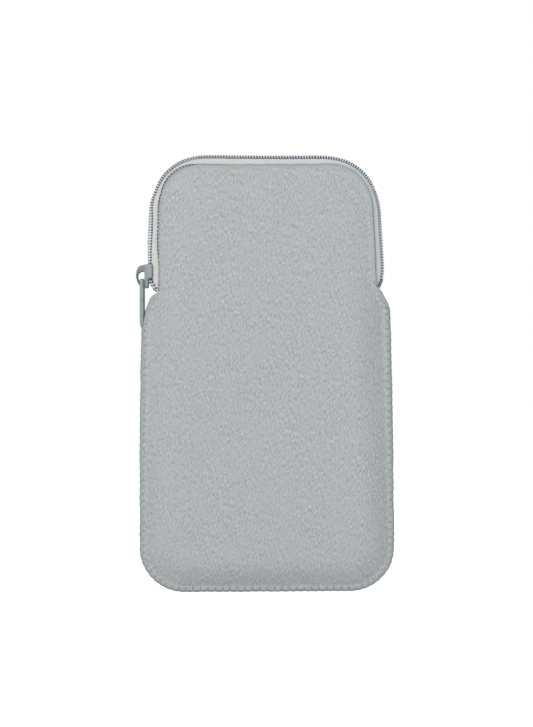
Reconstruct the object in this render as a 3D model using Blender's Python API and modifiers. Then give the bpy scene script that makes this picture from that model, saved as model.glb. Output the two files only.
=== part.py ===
"""Slim insulated lunch pouch, standing upright: two cushioned panels with an overlocked edge.

A coil zip closes it: up the left side, over the top and down the right side.
X is its width, its front faces -Y, and Z is up.
"""

import math

import bmesh
import bpy
from mathutils import Matrix, Vector

# Driving dimensions of the pouch
BODY_WIDTH = 0.143
BODY_CORNER_R = 0.0252
BODY_TAPER = 0.0015
BODY_DEPTH = 0.020
SHOULDER_Z = 0.145
SHOULDER_R = 0.0405
SHOULDER_TURN = math.radians(30)
RIGHT_SHOULDER_R = 0.0120
RIGHT_SHOULDER_TURN = math.radians(55)
SHOULDER_END_R = 0.0025
SHOULDER_END_TURN = math.radians(72)
NOTCH_RISE = 0.0011
TOP_RISE = 0.0997
TOP_STEP = 0.0070
ZIP_CORNER_R = 0.0312
ZIP_LEAN = math.radians(3.0)
ZIP_END_RISE = 0.0011
FOLD_CLEARANCE = 0.0032

# Panel layers, from outside to inside
FACE_THICK = 0.0006
FOAM_THICK = 0.0017
LINING_THICK = 0.0004
LAYER_GAP = 0.0003
LIP_THICK_SHARE = 0.75
SEAM_HALF_DEPTH = 0.0027
GUSSET_HALF_DEPTH = 0.0065
SEAM_OPENS_RISE = 0.0100
GUSSET_FULL_RISE = 0.0075
FOLD_GAP = 0.0006
FLAT_INSET = 0.0175
FLAT_CORNER_R = 0.012
RING_SHARES = (0.0, 0.2, 0.4, 0.66, 1.0)
LIP_SHARE = 0.2
SHARP_ANGLE = math.radians(30)

# Overlocked edge
STITCH_THICK = 0.0005
STITCH_REACH = 0.0028
STITCH_GAP = 0.0003
STITCH_END_DROP = 0.0020

# Zip
COIL_THICK = 0.0019
COIL_OUTER_Y = 0.0030
COIL_ROOT_Y = 0.0020
COIL_MESH_DEPTH = 0.0006
COIL_PITCH = 0.00155
LOOPS_PER_TOOTH = 2
TOOTH_WIDTH = 0.0010
FRONT_PHASE_SHARE = 0.25
BACK_PHASE_SHARE = 0.75
TAPE_THICK = 0.0005
TAPE_EDGE_Y = 0.0013
TAPE_HIDDEN = 0.0065
TAPE_TURN_SHARE = 0.4
TAPE_CLEARANCE = 0.0003
MARGIN_CLEARANCE = 0.0006
PANEL_INSET = 0.0054
SEAM_THREAD_R = 0.00022
TACK_LENGTH = 0.0012
TACK_THICK = 0.0007
TACK_CLEARANCE = 0.0003
TACK_ROUNDING = 0.00018
RIGHT_TACK_IN = 0.0055
SPREAD = 0.00165

# Slider and pull
SLIDER_LENGTH = 0.0134
SLIDER_END_GAP = 0.0003
SLIDER_MOUTH_HALF = 0.0056
SLIDER_NECK_HALF = 0.0045
SLIDER_WALL = 0.0008
FLANK_DEPTH = 0.0022
FLANK_SHARE = 0.6
LIP_DEPTH = 0.0005
SLIDER_CLEARANCE = 0.0003
WING_THICK = 0.0014
INNER_WING_HALF = 0.0024
DIAMOND_HALF = 0.0007
DIAMOND_LENGTH = 0.0045
CROWN_GAP = 0.0003
CROWN_THICK = 0.0012
CROWN_PEAK_SHARE = 0.5
CROWN_OUT_SHARES = (0.0, 0.38, 0.74, 0.96, 1.0, 0.86, 0.45, 0.0)
CROWN_UP_SHARES = (0.0, 0.03, 0.15, 0.38, 0.60, 0.83, 0.97, 1.0)
CROWN_ROOT_LENGTH = 0.0027
CROWN_WIDTH = 0.0025
CROWN_REACH = 0.0051
CROWN_SPAN = 0.0112
PULL_LENGTH = 0.0270
PULL_WIDTH = 0.0075
PULL_EYE_THICK = 0.0022
PULL_BODY_THICK = 0.0026
PULL_TIP_THICK = 0.0013
PULL_EYE_BAR = 0.0020
PULL_SLOT_WIDTH = 0.0040
PULL_SLOT_LENGTH = 0.0050
PULL_OUT = 0.0013
PULL_UP = 0.0028
PULL_TIP_WIDTH = 0.0058
PULL_SIDE_CLEARANCE = 0.0002

# How finely round stretches are cut into flat faces
CORNER_STEPS = 6
SHOULDER_STEPS = 3
SIDE_SHARES = (0.3, 0.65)
LEG_SHARES = (0.0, 0.07, 0.15, 0.26, 0.42, 0.7)
TAPE_CORNER_STEPS = 7
SPREAD_STEPS = 6
STATION_GAP = 0.0007
THREAD_ROUNDNESS = 1
WELD_DISTANCE = 0.000003

# Colour and roughness of each material
KNIT_LOOK = ((0.43, 0.46, 0.46), 0.9)
FOAM_LOOK = ((0.15, 0.16, 0.16), 0.95)
LINING_LOOK = ((0.33, 0.35, 0.35), 0.8)
THREAD_LOOK = ((0.38, 0.42, 0.42), 0.9)
TAPE_LOOK = ((0.62, 0.63, 0.60), 0.85)
COIL_LOOK = ((0.36, 0.41, 0.45), 0.35)
TACK_LOOK = ((0.70, 0.72, 0.70), 0.8)
SLIDER_LOOK = ((0.28, 0.33, 0.33), 0.35, 0.4)

SHOULDER_RUN = SHOULDER_R - SHOULDER_END_R
SHOULDER_END_Z = (
    SHOULDER_Z + SHOULDER_RUN * math.sin(SHOULDER_TURN) + SHOULDER_END_R * math.sin(SHOULDER_END_TURN)
)
RIGHT_SHOULDER_RUN = RIGHT_SHOULDER_R - SHOULDER_END_R
RIGHT_SHOULDER_Z = (
    SHOULDER_Z + SHOULDER_RUN * math.sin(SHOULDER_TURN) - RIGHT_SHOULDER_RUN * math.sin(RIGHT_SHOULDER_TURN)
)
LEFT_SHOULDER = (SHOULDER_Z, SHOULDER_R, SHOULDER_TURN)
RIGHT_SHOULDER = (RIGHT_SHOULDER_Z, RIGHT_SHOULDER_R, RIGHT_SHOULDER_TURN)
NOTCH_Z = SHOULDER_END_Z + NOTCH_RISE
STITCH_END_Z = NOTCH_Z - STITCH_END_DROP
SEAM_OPENS_Z = SHOULDER_Z + SEAM_OPENS_RISE
GUSSET_FULL_Z = NOTCH_Z + GUSSET_FULL_RISE
ZIP_END_Z = NOTCH_Z + ZIP_END_RISE
ZIP_TOP_Z = SHOULDER_Z + TOP_RISE
ZIP_TOP_WIDTH = BODY_WIDTH - 2 * TOP_STEP
ZIP_CENTRE_X = ZIP_TOP_WIDTH / 2 - ZIP_CORNER_R
ZIP_CENTRE_Z = ZIP_TOP_Z - ZIP_CORNER_R
TANGENT_X = ZIP_CENTRE_X + ZIP_CORNER_R * math.cos(ZIP_LEAN)
TANGENT_Z = ZIP_CENTRE_Z + ZIP_CORNER_R * math.sin(ZIP_LEAN)
LEG_LENGTH = (TANGENT_Z - ZIP_END_Z) / math.cos(ZIP_LEAN)
ARC_LENGTH = ZIP_CORNER_R * (math.pi / 2 - ZIP_LEAN)
ZIP_LENGTH = 2 * (LEG_LENGTH + ARC_LENGTH + ZIP_CENTRE_X)
LAYERS_THICK = FACE_THICK + FOAM_THICK + LINING_THICK + 2 * LAYER_GAP
EDGE_THICK = LIP_THICK_SHARE * LAYERS_THICK
SLIDER_S = TACK_LENGTH + SLIDER_END_GAP + TACK_CLEARANCE
FOLD_S = SLIDER_S + SLIDER_LENGTH + FOLD_CLEARANCE
FOLD_Z = ZIP_END_Z + FOLD_S * math.cos(ZIP_LEAN)
CROWN_BASE = SLIDER_CLEARANCE + WING_THICK + CROWN_GAP
CROWN_FOOT = (SLIDER_LENGTH - CROWN_SPAN) / 2
CROWN_PEAK_S = SLIDER_S + CROWN_FOOT + CROWN_PEAK_SHARE * CROWN_SPAN
CROWN_OUT = (CROWN_BASE + CROWN_REACH) * math.cos(ZIP_LEAN)
LEFT_REACH = TANGENT_X + (LEG_LENGTH - CROWN_PEAK_S) * math.sin(ZIP_LEAN) + CROWN_OUT

parts = None
cutters = None
root = None


def start():
    """Empties the file and makes the collections and the empty that centres the pouch on its own bounds."""
    global parts, cutters, root
    for old in list(bpy.data.objects):
        bpy.data.objects.remove(old)
    parts = bpy.data.collections.new("insulated_lunch_pouch")
    cutters = bpy.data.collections.new("cutters")
    bpy.context.scene.collection.children.link(parts)
    bpy.context.scene.collection.children.link(cutters)
    root = bpy.data.objects.new("pouch_frame", None)
    root.location.x = max(LEFT_REACH - BODY_WIDTH / 2, 0) / 2
    parts.objects.link(root)


def material(name, colour, roughness, metallic=0.0):
    made = bpy.data.materials.new(name)
    made.use_nodes = True
    shader = made.node_tree.nodes["Principled BSDF"]
    shader.inputs["Base Color"].default_value = (*colour, 1.0)
    shader.inputs["Roughness"].default_value = roughness
    shader.inputs["Metallic"].default_value = metallic
    return made


def add(name, data, look, parent=None):
    """Puts a mesh or curve in the pouch's collection, under its own material and parent."""
    made = bpy.data.objects.new(name, data)
    data.materials.append(material(name, *look))
    made.parent = parent or root
    parts.objects.link(made)
    return made


def mesh_from(name, bm):
    bmesh.ops.recalc_face_normals(bm, faces=bm.faces)
    mesh = bpy.data.meshes.new(name)
    bm.to_mesh(mesh)
    bm.free()
    return mesh


def smooth(share):
    share = min(max(share, 0.0), 1.0)
    return share * share * (3 - 2 * share)


def mixed(low, high, share):
    return low + (high - low) * share


def zip_at(s):
    """The point (x, z) on the coil's outer face at distance s from its left end, and the way out there."""
    if s > ZIP_LENGTH / 2:
        (x, z), (out_x, out_z) = zip_at(ZIP_LENGTH - s)
        return (-x, z), (-out_x, out_z)
    if s <= LEG_LENGTH:
        below = LEG_LENGTH - s
        place = (-TANGENT_X - below * math.sin(ZIP_LEAN), TANGENT_Z - below * math.cos(ZIP_LEAN))
        return place, (-math.cos(ZIP_LEAN), math.sin(ZIP_LEAN))
    turned = ZIP_LEAN + (s - LEG_LENGTH) / ZIP_CORNER_R
    if turned < math.pi / 2:
        out = (-math.cos(turned), math.sin(turned))
        return (-ZIP_CENTRE_X + ZIP_CORNER_R * out[0], ZIP_CENTRE_Z + ZIP_CORNER_R * out[1]), out
    along_top = s - LEG_LENGTH - ARC_LENGTH
    return (-ZIP_CENTRE_X + along_top, ZIP_TOP_Z), (0.0, 1.0)


def zip_point(s, out, y):
    """A point at distance s along the zip, out from the coil's outer face by out, at depth y."""
    (x, z), (out_x, out_z) = zip_at(s)
    return Vector((x + out * out_x, y, z + out * out_z))


def spread(s):
    """How far each coil row stands off the middle at s: the slider's diamond parts the rows below it."""
    parted_up_to = SLIDER_S + DIAMOND_LENGTH
    closed_from = SLIDER_S + SLIDER_LENGTH
    return SPREAD * smooth((closed_from - s) / (closed_from - parted_up_to))


def edge_half_depth(z):
    """Half the depth at a panel's edge: pinched along the seam, opened to the zip above the notch."""
    share = smooth((z - SEAM_OPENS_Z) / (GUSSET_FULL_Z - SEAM_OPENS_Z))
    return mixed(SEAM_HALF_DEPTH, GUSSET_HALF_DEPTH, share)


def body_side(inset, shoulder):
    """One side of the outline below the zip, as a right side, from the bottom middle up, drawn in by inset.

    The shoulder is its (start height, radius, turn).
    """
    shoulder_z, shoulder_r, shoulder_turn = shoulder
    half = BODY_WIDTH / 2
    corner_x = half - BODY_CORNER_R
    points = [(0.0, inset)]
    for step in range(CORNER_STEPS + 1):
        angle = math.pi / 2 * (step / CORNER_STEPS - 1)
        reach = BODY_CORNER_R - inset
        points.append((corner_x + reach * math.cos(angle), BODY_CORNER_R + reach * math.sin(angle)))
    for share in SIDE_SHARES:
        x = half - BODY_TAPER * share * share - inset
        points.append((x, mixed(BODY_CORNER_R, shoulder_z, share)))
    shoulder_x = half - BODY_TAPER - shoulder_r
    for step in range(SHOULDER_STEPS + 1):
        angle = shoulder_turn * step / SHOULDER_STEPS
        reach = shoulder_r - inset
        points.append((shoulder_x + reach * math.cos(angle), shoulder_z + reach * math.sin(angle)))
    end_x = shoulder_x + (shoulder_r - SHOULDER_END_R) * math.cos(shoulder_turn)
    end_x += (SHOULDER_END_R - inset) * math.cos(SHOULDER_END_TURN)
    points.append((end_x, SHOULDER_END_Z - inset * math.sin(SHOULDER_END_TURN)))
    return points


def panel_outline(shoulder):
    """Half of a panel's outline, as a right half, with each point's place on the flat middle's outline."""
    flat_low = FLAT_INSET
    flat_high = ZIP_TOP_Z - PANEL_INSET - FLAT_INSET
    flat_low_half = BODY_WIDTH / 2 - FLAT_INSET
    flat_high_half = ZIP_TOP_WIDTH / 2 - PANEL_INSET - FLAT_INSET
    low_centre_z = flat_low + FLAT_CORNER_R
    high_centre_z = flat_high - FLAT_CORNER_R
    pairs = []
    lower = body_side(STITCH_THICK + STITCH_GAP, shoulder)
    for index, (x, z) in enumerate(lower):
        if index == 0:
            inner = (0.0, flat_low)
        elif index <= CORNER_STEPS + 1:
            angle = math.pi / 2 * ((index - 1) / CORNER_STEPS - 1)
            flat_x = flat_low_half - FLAT_CORNER_R + FLAT_CORNER_R * math.cos(angle)
            inner = (flat_x, low_centre_z + FLAT_CORNER_R * math.sin(angle))
        else:
            inner = None
        pairs.append(((x, z), inner))
    leg_low = (NOTCH_Z - ZIP_END_Z) / math.cos(ZIP_LEAN)
    for share in LEG_SHARES:
        place = zip_point(mixed(leg_low, LEG_LENGTH, share), -PANEL_INSET, 0.0)
        pairs.append(((-place.x, place.z), None))
    for step in range(CORNER_STEPS + 1):
        share = step / CORNER_STEPS
        place = zip_point(LEG_LENGTH + ARC_LENGTH * share, -PANEL_INSET, 0.0)
        angle = mixed(ZIP_LEAN, math.pi / 2, share)
        centre_x = flat_high_half - FLAT_CORNER_R
        inner = (centre_x + FLAT_CORNER_R * math.cos(angle), high_centre_z + FLAT_CORNER_R * math.sin(angle))
        pairs.append(((-place.x, place.z), inner))
    pairs.append(((0.0, ZIP_TOP_Z - PANEL_INSET), (0.0, flat_high)))
    side_low = BODY_CORNER_R
    side_high = TANGENT_Z
    done = []
    for outer, inner in pairs:
        if inner is None:
            share = (outer[1] - side_low) / (side_high - side_low)
            inner = (mixed(flat_low_half, flat_high_half, share), mixed(low_centre_z, high_centre_z, share))
        done.append((outer, inner))
    return done


def panel_surface(facing, keep_below=None, keep_above=None):
    """A panel's outer surface as an open sheet, facing -1 (front) or +1 (back), cut at a height if asked."""
    mirrored = reversed(panel_outline(LEFT_SHOULDER)[1:-1])
    left = [((-outer[0], outer[1]), (-inner[0], inner[1])) for outer, inner in mirrored]
    loop = panel_outline(RIGHT_SHOULDER) + left
    bm = bmesh.new()
    weights = bm.verts.layers.deform.verify()
    rings = []
    for share in RING_SHARES:
        rise = math.sin(math.pi / 2 * max(share - LIP_SHARE, 0.0) / (1.0 - LIP_SHARE))
        ring = []
        for (outer_x, outer_z), (inner_x, inner_z) in loop:
            depth = mixed(edge_half_depth(outer_z), BODY_DEPTH / 2, rise)
            place = (mixed(outer_x, inner_x, share), facing * depth, mixed(outer_z, inner_z, share))
            vertex = bm.verts.new(place)
            vertex[weights][0] = LIP_THICK_SHARE if share <= LIP_SHARE else 1.0
            ring.append(vertex)
        rings.append(ring)
    count = len(loop)
    for outer_ring, inner_ring in zip(rings, rings[1:]):
        for i in range(count):
            j = (i + 1) % count
            bm.faces.new((outer_ring[i], outer_ring[j], inner_ring[j], inner_ring[i]))
    bm.faces.new(rings[-1])
    if keep_below is not None:
        cut_sheet(bm, keep_below, True)
    if keep_above is not None:
        cut_sheet(bm, keep_above, False)
    bmesh.ops.recalc_face_normals(bm, faces=bm.faces)
    if sum(face.normal.y * face.calc_area() for face in bm.faces) * facing < 0:
        bmesh.ops.reverse_faces(bm, faces=bm.faces)
    return bm


def cut_sheet(bm, z, keep_below):
    geometry = bm.verts[:] + bm.edges[:] + bm.faces[:]
    bmesh.ops.bisect_plane(
        bm,
        geom=geometry,
        plane_co=(0, 0, z),
        plane_no=(0, 0, 1),
        clear_outer=keep_below,
        clear_inner=not keep_below,
    )


def layer(name, sheet, under, thick, look):
    """One layer of a panel: the sheet's solid from depth under below its surface, thick further in."""
    mesh = bpy.data.meshes.new(name)
    sheet.to_mesh(mesh)
    made = add(name, mesh, look)
    made.vertex_groups.new(name="thickness")
    solid = made.modifiers.new("thickness", "SOLIDIFY")
    solid.thickness = thick
    solid.offset = -1 - 2 * under / thick
    solid.use_even_offset = True
    solid.vertex_group = "thickness"
    mesh.shade_smooth()
    mesh.set_sharp_from_angle(angle=SHARP_ANGLE)
    return made


def panel(prefix, facing, keep_below=None, keep_above=None):
    """A panel's face fabric, foam and lining."""
    sheet = panel_surface(facing, keep_below, keep_above)
    foam_under = FACE_THICK + LAYER_GAP
    lining_under = foam_under + FOAM_THICK + LAYER_GAP
    layer(prefix + "_face_fabric", sheet, 0.0, FACE_THICK, KNIT_LOOK)
    layer(prefix + "_foam", sheet, foam_under, FOAM_THICK, FOAM_LOOK)
    layer(prefix + "_lining", sheet, lining_under, LINING_THICK, LINING_LOOK)
    sheet.free()


def lofted(name, sections, thick, look):
    """A sheet through rows of points, one row a section, made solid about its middle."""
    bm = bmesh.new()
    rows = [[bm.verts.new(point) for point in section] for section in sections]
    for row, following in zip(rows, rows[1:]):
        for i in range(len(row) - 1):
            bm.faces.new((row[i], row[i + 1], following[i + 1], following[i]))
    made = add(name, mesh_from(name, bm), look)
    solid = made.modifiers.new("thickness", "SOLIDIFY")
    solid.thickness = thick
    solid.offset = 0
    solid.use_even_offset = True
    return made


def edge_overlock():
    """The thread that wraps the sewn edge, as one folded band from notch to notch."""
    middle = STITCH_THICK / 2
    sides = []
    for shoulder in (LEFT_SHOULDER, RIGHT_SHOULDER):
        pairs = zip(body_side(middle, shoulder), body_side(STITCH_REACH, shoulder))
        sides.append([(fold, hem) for fold, hem in pairs if fold[1] < STITCH_END_Z])
    left = [((-fold[0], fold[1]), (-hem[0], hem[1])) for fold, hem in reversed(sides[0][1:])]
    sections = []
    for (x, z), (hem_x, hem_z) in left + sides[1]:
        arm_y = edge_half_depth(z) + STITCH_GAP + middle
        sections.append([(hem_x, -arm_y, hem_z), (x, -arm_y, z), (x, arm_y, z), (hem_x, arm_y, hem_z)])
    lofted("edge_overlock_thread", sections, STITCH_THICK, THREAD_LOOK)


def stations(low, high):
    """Distances along the zip from low to high, close together in its corners and where the rows part."""
    corner = LEG_LENGTH + ARC_LENGTH
    marks = [ZIP_LENGTH / 2, FOLD_S, ZIP_LENGTH - FOLD_S]
    marks += [LEG_LENGTH + ARC_LENGTH * i / TAPE_CORNER_STEPS for i in range(TAPE_CORNER_STEPS + 1)]
    marks += [ZIP_LENGTH - corner + ARC_LENGTH * i / TAPE_CORNER_STEPS for i in range(TAPE_CORNER_STEPS + 1)]
    opening = (SLIDER_S + SLIDER_LENGTH) / SPREAD_STEPS
    marks += [opening * i for i in range(1, SPREAD_STEPS + 1)]
    marks += [ZIP_LENGTH - opening * i for i in range(1, SPREAD_STEPS + 1)]
    kept = [low]
    for mark in sorted(marks):
        if mark - kept[-1] > STATION_GAP and high - mark > STATION_GAP:
            kept.append(mark)
    return kept + [high]


def tape(name, facing, low, high):
    """Zip tape from low to high: a margin under the panel, a strip out to the coil, an edge under it."""
    under_coil = -COIL_THICK - TAPE_CLEARANCE - TAPE_THICK / 2
    sections = []
    for s in stations(low, high):
        depth = edge_half_depth(zip_point(s, -PANEL_INSET, 0.0).z)
        margin_y = depth - EDGE_THICK - MARGIN_CLEARANCE - TAPE_THICK / 2
        apart = spread(s)
        turn_y = COIL_OUTER_Y + apart * TAPE_TURN_SHARE
        sections.append(
            [
                zip_point(s, -PANEL_INSET - TAPE_HIDDEN, facing * margin_y),
                zip_point(s, -PANEL_INSET, facing * margin_y),
                zip_point(s, under_coil, facing * turn_y),
                zip_point(s, under_coil, facing * (TAPE_EDGE_Y + apart)),
            ]
        )
    lofted(name, sections, TAPE_THICK, TAPE_LOOK)


def coil(name, facing, low, high):
    """A row of the coil as a comb whose teeth reach past the middle, between those of the other row."""
    pitch = COIL_PITCH * LOOPS_PER_TOOTH
    phase = FRONT_PHASE_SHARE if facing < 0 else BACK_PHASE_SHARE
    bm = bmesh.new()

    def row(s):
        apart = spread(s)
        return [
            bm.verts.new(zip_point(s, 0.0, facing * (COIL_OUTER_Y + apart))),
            bm.verts.new(zip_point(s, 0.0, facing * (COIL_ROOT_Y + apart))),
        ]

    last = row(low)
    tooth = math.ceil(low / pitch - phase)
    while (tooth + phase) * pitch + TOOTH_WIDTH < high:
        middle = (tooth + phase) * pitch
        tooth += 1
        if middle - TOOTH_WIDTH < low:
            continue
        ends = (middle - TOOTH_WIDTH / 2, middle + TOOTH_WIDTH / 2)
        begin, end = (row(place) for place in ends)
        tip_y = facing * (spread(middle) - COIL_MESH_DEPTH)
        tips = [bm.verts.new(zip_point(place, 0.0, tip_y)) for place in ends]
        bm.faces.new((last[0], last[1], begin[1], begin[0]))
        bm.faces.new((begin[0], begin[1], end[1], end[0]))
        bm.faces.new((begin[1], tips[0], tips[1], end[1]))
        last = end
    end = row(high)
    bm.faces.new((last[0], last[1], end[1], end[0]))
    if facing < 0:
        bmesh.ops.reverse_faces(bm, faces=bm.faces)
    mesh = bpy.data.meshes.new(name)
    bm.to_mesh(mesh)
    bm.free()
    made = add(name, mesh, COIL_LOOK)
    solid = made.modifiers.new("thickness", "SOLIDIFY")
    solid.thickness = COIL_THICK
    solid.offset = -1


def tube(name, points, radius, look):
    """A round thread through the points, with closed ends."""
    curve = bpy.data.curves.new(name, "CURVE")
    curve.dimensions = "3D"
    curve.bevel_depth = radius
    curve.bevel_resolution = THREAD_ROUNDNESS
    curve.use_fill_caps = True
    line = curve.splines.new("POLY")
    line.points.add(len(points) - 1)
    for point, place in zip(line.points, points):
        point.co = (*place, 1.0)
    return add(name, curve, look)


def seam_thread(name, facing, low, high):
    """The thread that joins a panel's turned edge to the tape, in the valley between them."""
    points = []
    for s in stations(low, high):
        depth = edge_half_depth(zip_point(s, -PANEL_INSET, 0.0).z)
        out = -PANEL_INSET + SEAM_THREAD_R + LAYER_GAP
        points.append(zip_point(s, out, facing * (depth - SEAM_THREAD_R - LAYER_GAP)))
    tube(name, points, SEAM_THREAD_R, THREAD_LOOK)


def box(name, size, look, parent, centre):
    """A block of that size round that centre in its parent's frame."""
    bm = bmesh.new()
    bmesh.ops.create_cube(bm, size=1.0)
    bmesh.ops.scale(bm, vec=size, verts=bm.verts)
    bmesh.ops.translate(bm, vec=centre, verts=bm.verts)
    return add(name, mesh_from(name, bm), look, parent)


def zip_frame(name, s):
    """An empty on the coil's outer face at s: X points out of the pouch, Y to its front, Z along the zip."""
    (x, z), (out_x, out_z) = zip_at(s)
    out = Vector((out_x, 0, out_z))
    front = Vector((0, -1, 0))
    along = out.cross(front)
    turn = Matrix((out, front, along)).transposed().to_4x4()
    empty = bpy.data.objects.new(name, None)
    empty.parent = root
    empty.matrix_local = Matrix.Translation((x, 0, z)) @ turn
    parts.objects.link(empty)
    return empty


def bar_tack(name, s, apart):
    """A bar of thread across the end of both coil rows."""
    frame = zip_frame(name + "_frame", s)
    half = COIL_OUTER_Y + apart + TACK_THICK
    centre = (TACK_CLEARANCE + TACK_THICK / 2, 0, 0)
    made = box(name, (TACK_THICK, 2 * half, TACK_LENGTH), TACK_LOOK, frame, centre)
    rounded = made.modifiers.new("rounding", "BEVEL")
    rounded.width = TACK_ROUNDING
    rounded.segments = 1


def flat_piece(name, outline, low, high):
    """A mesh of an outline of (across, along) points, from low to high in X, across being its Y."""
    curve = bpy.data.curves.new(name, "CURVE")
    curve.dimensions = "2D"
    curve.fill_mode = "BOTH"
    curve.extrude = (high - low) / 2
    line = curve.splines.new("POLY")
    line.points.add(len(outline) - 1)
    line.use_cyclic_u = True
    for point, (across, along) in zip(line.points, outline):
        point.co = (across, along, 0.0, 1.0)
    shape = bpy.data.objects.new(name, curve)
    cutters.objects.link(shape)
    graph = bpy.context.evaluated_depsgraph_get()
    mesh = bpy.data.meshes.new_from_object(shape.evaluated_get(graph))
    bpy.data.objects.remove(shape)
    bm = bmesh.new()
    bm.from_mesh(mesh)
    bmesh.ops.remove_doubles(bm, verts=bm.verts, dist=WELD_DISTANCE)
    turn = Matrix(((0, 0, 1, (low + high) / 2), (1, 0, 0, 0), (0, 1, 0, 0), (0, 0, 0, 1)))
    bmesh.ops.transform(bm, matrix=turn, verts=bm.verts)
    bpy.data.meshes.remove(mesh)
    return mesh_from(name, bm)


def joined(made, name, mesh, operation="UNION"):
    """Joins or cuts a piece with a helper mesh that stays in the cutters' collection."""
    helper = bpy.data.objects.new(name, mesh)
    helper.parent = made.parent
    helper.hide_render = True
    helper.display_type = "WIRE"
    cutters.objects.link(helper)
    modifier = made.modifiers.new(name, "BOOLEAN")
    modifier.operation = operation
    modifier.object = helper
    modifier.solver = "EXACT"


def slider_body(frame):
    """Two wings joined by the diamond, with a lip each side of the mouth and a deeper flank above it."""
    wing_low = SLIDER_CLEARANCE
    wing_high = wing_low + WING_THICK
    inner_high = -COIL_THICK - TAPE_CLEARANCE - TAPE_THICK - SLIDER_CLEARANCE
    inner_low = inner_high - WING_THICK
    waist = SLIDER_LENGTH / 2
    chamfer = SLIDER_WALL
    mouth = SLIDER_MOUTH_HALF
    neck = SLIDER_NECK_HALF
    right = [
        (mouth - chamfer, 0.0),
        (mouth, chamfer),
        (mouth, waist - chamfer),
        (neck, SLIDER_LENGTH - chamfer),
        (neck - chamfer, SLIDER_LENGTH),
    ]
    outline = right + [(-across, along) for across, along in reversed(right)]
    made = add("slider_body", flat_piece("slider_wing", outline, wing_low, wing_high), SLIDER_LOOK, frame)
    half = INNER_WING_HALF
    top = SLIDER_LENGTH - chamfer
    inner = [(half, chamfer), (half, top), (-half, top), (-half, chamfer)]
    joined(made, "slider_inner_wing", flat_piece("slider_inner_wing", inner, inner_low, inner_high))
    overlap = WING_THICK / 2
    diamond = [
        (0.0, chamfer),
        (DIAMOND_HALF, 2 * chamfer),
        (DIAMOND_HALF, DIAMOND_LENGTH - chamfer),
        (0.0, DIAMOND_LENGTH),
        (-DIAMOND_HALF, DIAMOND_LENGTH - chamfer),
        (-DIAMOND_HALF, 2 * chamfer),
    ]
    mesh = flat_piece("slider_diamond", diamond, inner_high - overlap, wing_low + overlap)
    joined(made, "slider_diamond", mesh)
    flank_low = SLIDER_LENGTH * (1 - FLANK_SHARE)
    for side, label in ((1, "front"), (-1, "back")):
        flank = [
            (side * mouth, flank_low),
            (side * mouth, waist - chamfer),
            (side * neck, SLIDER_LENGTH - chamfer),
            (side * (neck - SLIDER_WALL), SLIDER_LENGTH - chamfer),
            (side * (mouth - SLIDER_WALL), waist - chamfer),
            (side * (mouth - SLIDER_WALL), flank_low),
        ]
        name = "slider_" + label + "_flank"
        joined(made, name, flat_piece(name, flank, -FLANK_DEPTH, wing_low + overlap))
        lip = [
            (side * mouth, chamfer),
            (side * mouth, flank_low + overlap),
            (side * (mouth - SLIDER_WALL), flank_low + overlap),
            (side * (mouth - SLIDER_WALL), chamfer),
        ]
        name = "slider_" + label + "_lip"
        joined(made, name, flat_piece(name, lip, -LIP_DEPTH, wing_low + overlap))
    return made


def crown_line():
    """The strap's middle line as (out, along) points, from its lower foot on the wing to its upper one."""
    reach = CROWN_REACH - CROWN_THICK / 2
    return [(reach * out, CROWN_SPAN * up) for out, up in zip(CROWN_OUT_SHARES, CROWN_UP_SHARES)]


def slider_crown(frame):
    """The strap over the slider that the pull hangs on: thin below, with a thick upper root."""
    line = crown_line()
    outer = []
    inner = []
    for index, (out, along) in enumerate(line):
        before = line[max(index - 1, 0)]
        after = line[min(index + 1, len(line) - 1)]
        run = Vector((after[0] - before[0], after[1] - before[1])).normalized()
        if index in (0, len(line) - 1):
            run = Vector((1.0, 0.0)) if index == 0 else Vector((-1.0, 0.0))
        side = Vector((run.y, -run.x))
        share = smooth((index - len(line) / 2) / (len(line) / 2 - 1))
        thick = mixed(CROWN_THICK, CROWN_ROOT_LENGTH, share)
        place = Vector((CROWN_BASE + out, CROWN_FOOT + along))
        outer.append(place + side * CROWN_THICK / 2)
        inner.append(place - side * (thick - CROWN_THICK / 2))
    outline = outer + inner[::-1]
    width = CROWN_WIDTH / 2
    mesh = flat_piece("slider_crown", [(point.x, point.y) for point in outline], -width, width)
    across_to_out = Matrix(((0, 1, 0, 0), (-1, 0, 0, 0), (0, 0, 1, 0), (0, 0, 0, 1)))
    mesh.transform(across_to_out)
    add("slider_crown", mesh, SLIDER_LOOK, frame)


def pull_lean(out, along):
    """How far the pull hangs out from the slider's own line, so that its tip clears the pouch's side."""
    hung_x = -zip_point(SLIDER_S + along, out, 0.0).x
    side_x = BODY_WIDTH / 2 - BODY_TAPER + PULL_SIDE_CLEARANCE + PULL_TIP_THICK / 2
    needed = math.asin((side_x - hung_x) / (PULL_LENGTH - PULL_EYE_BAR / 2))
    return max(needed - ZIP_LEAN, 0.0)


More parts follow.
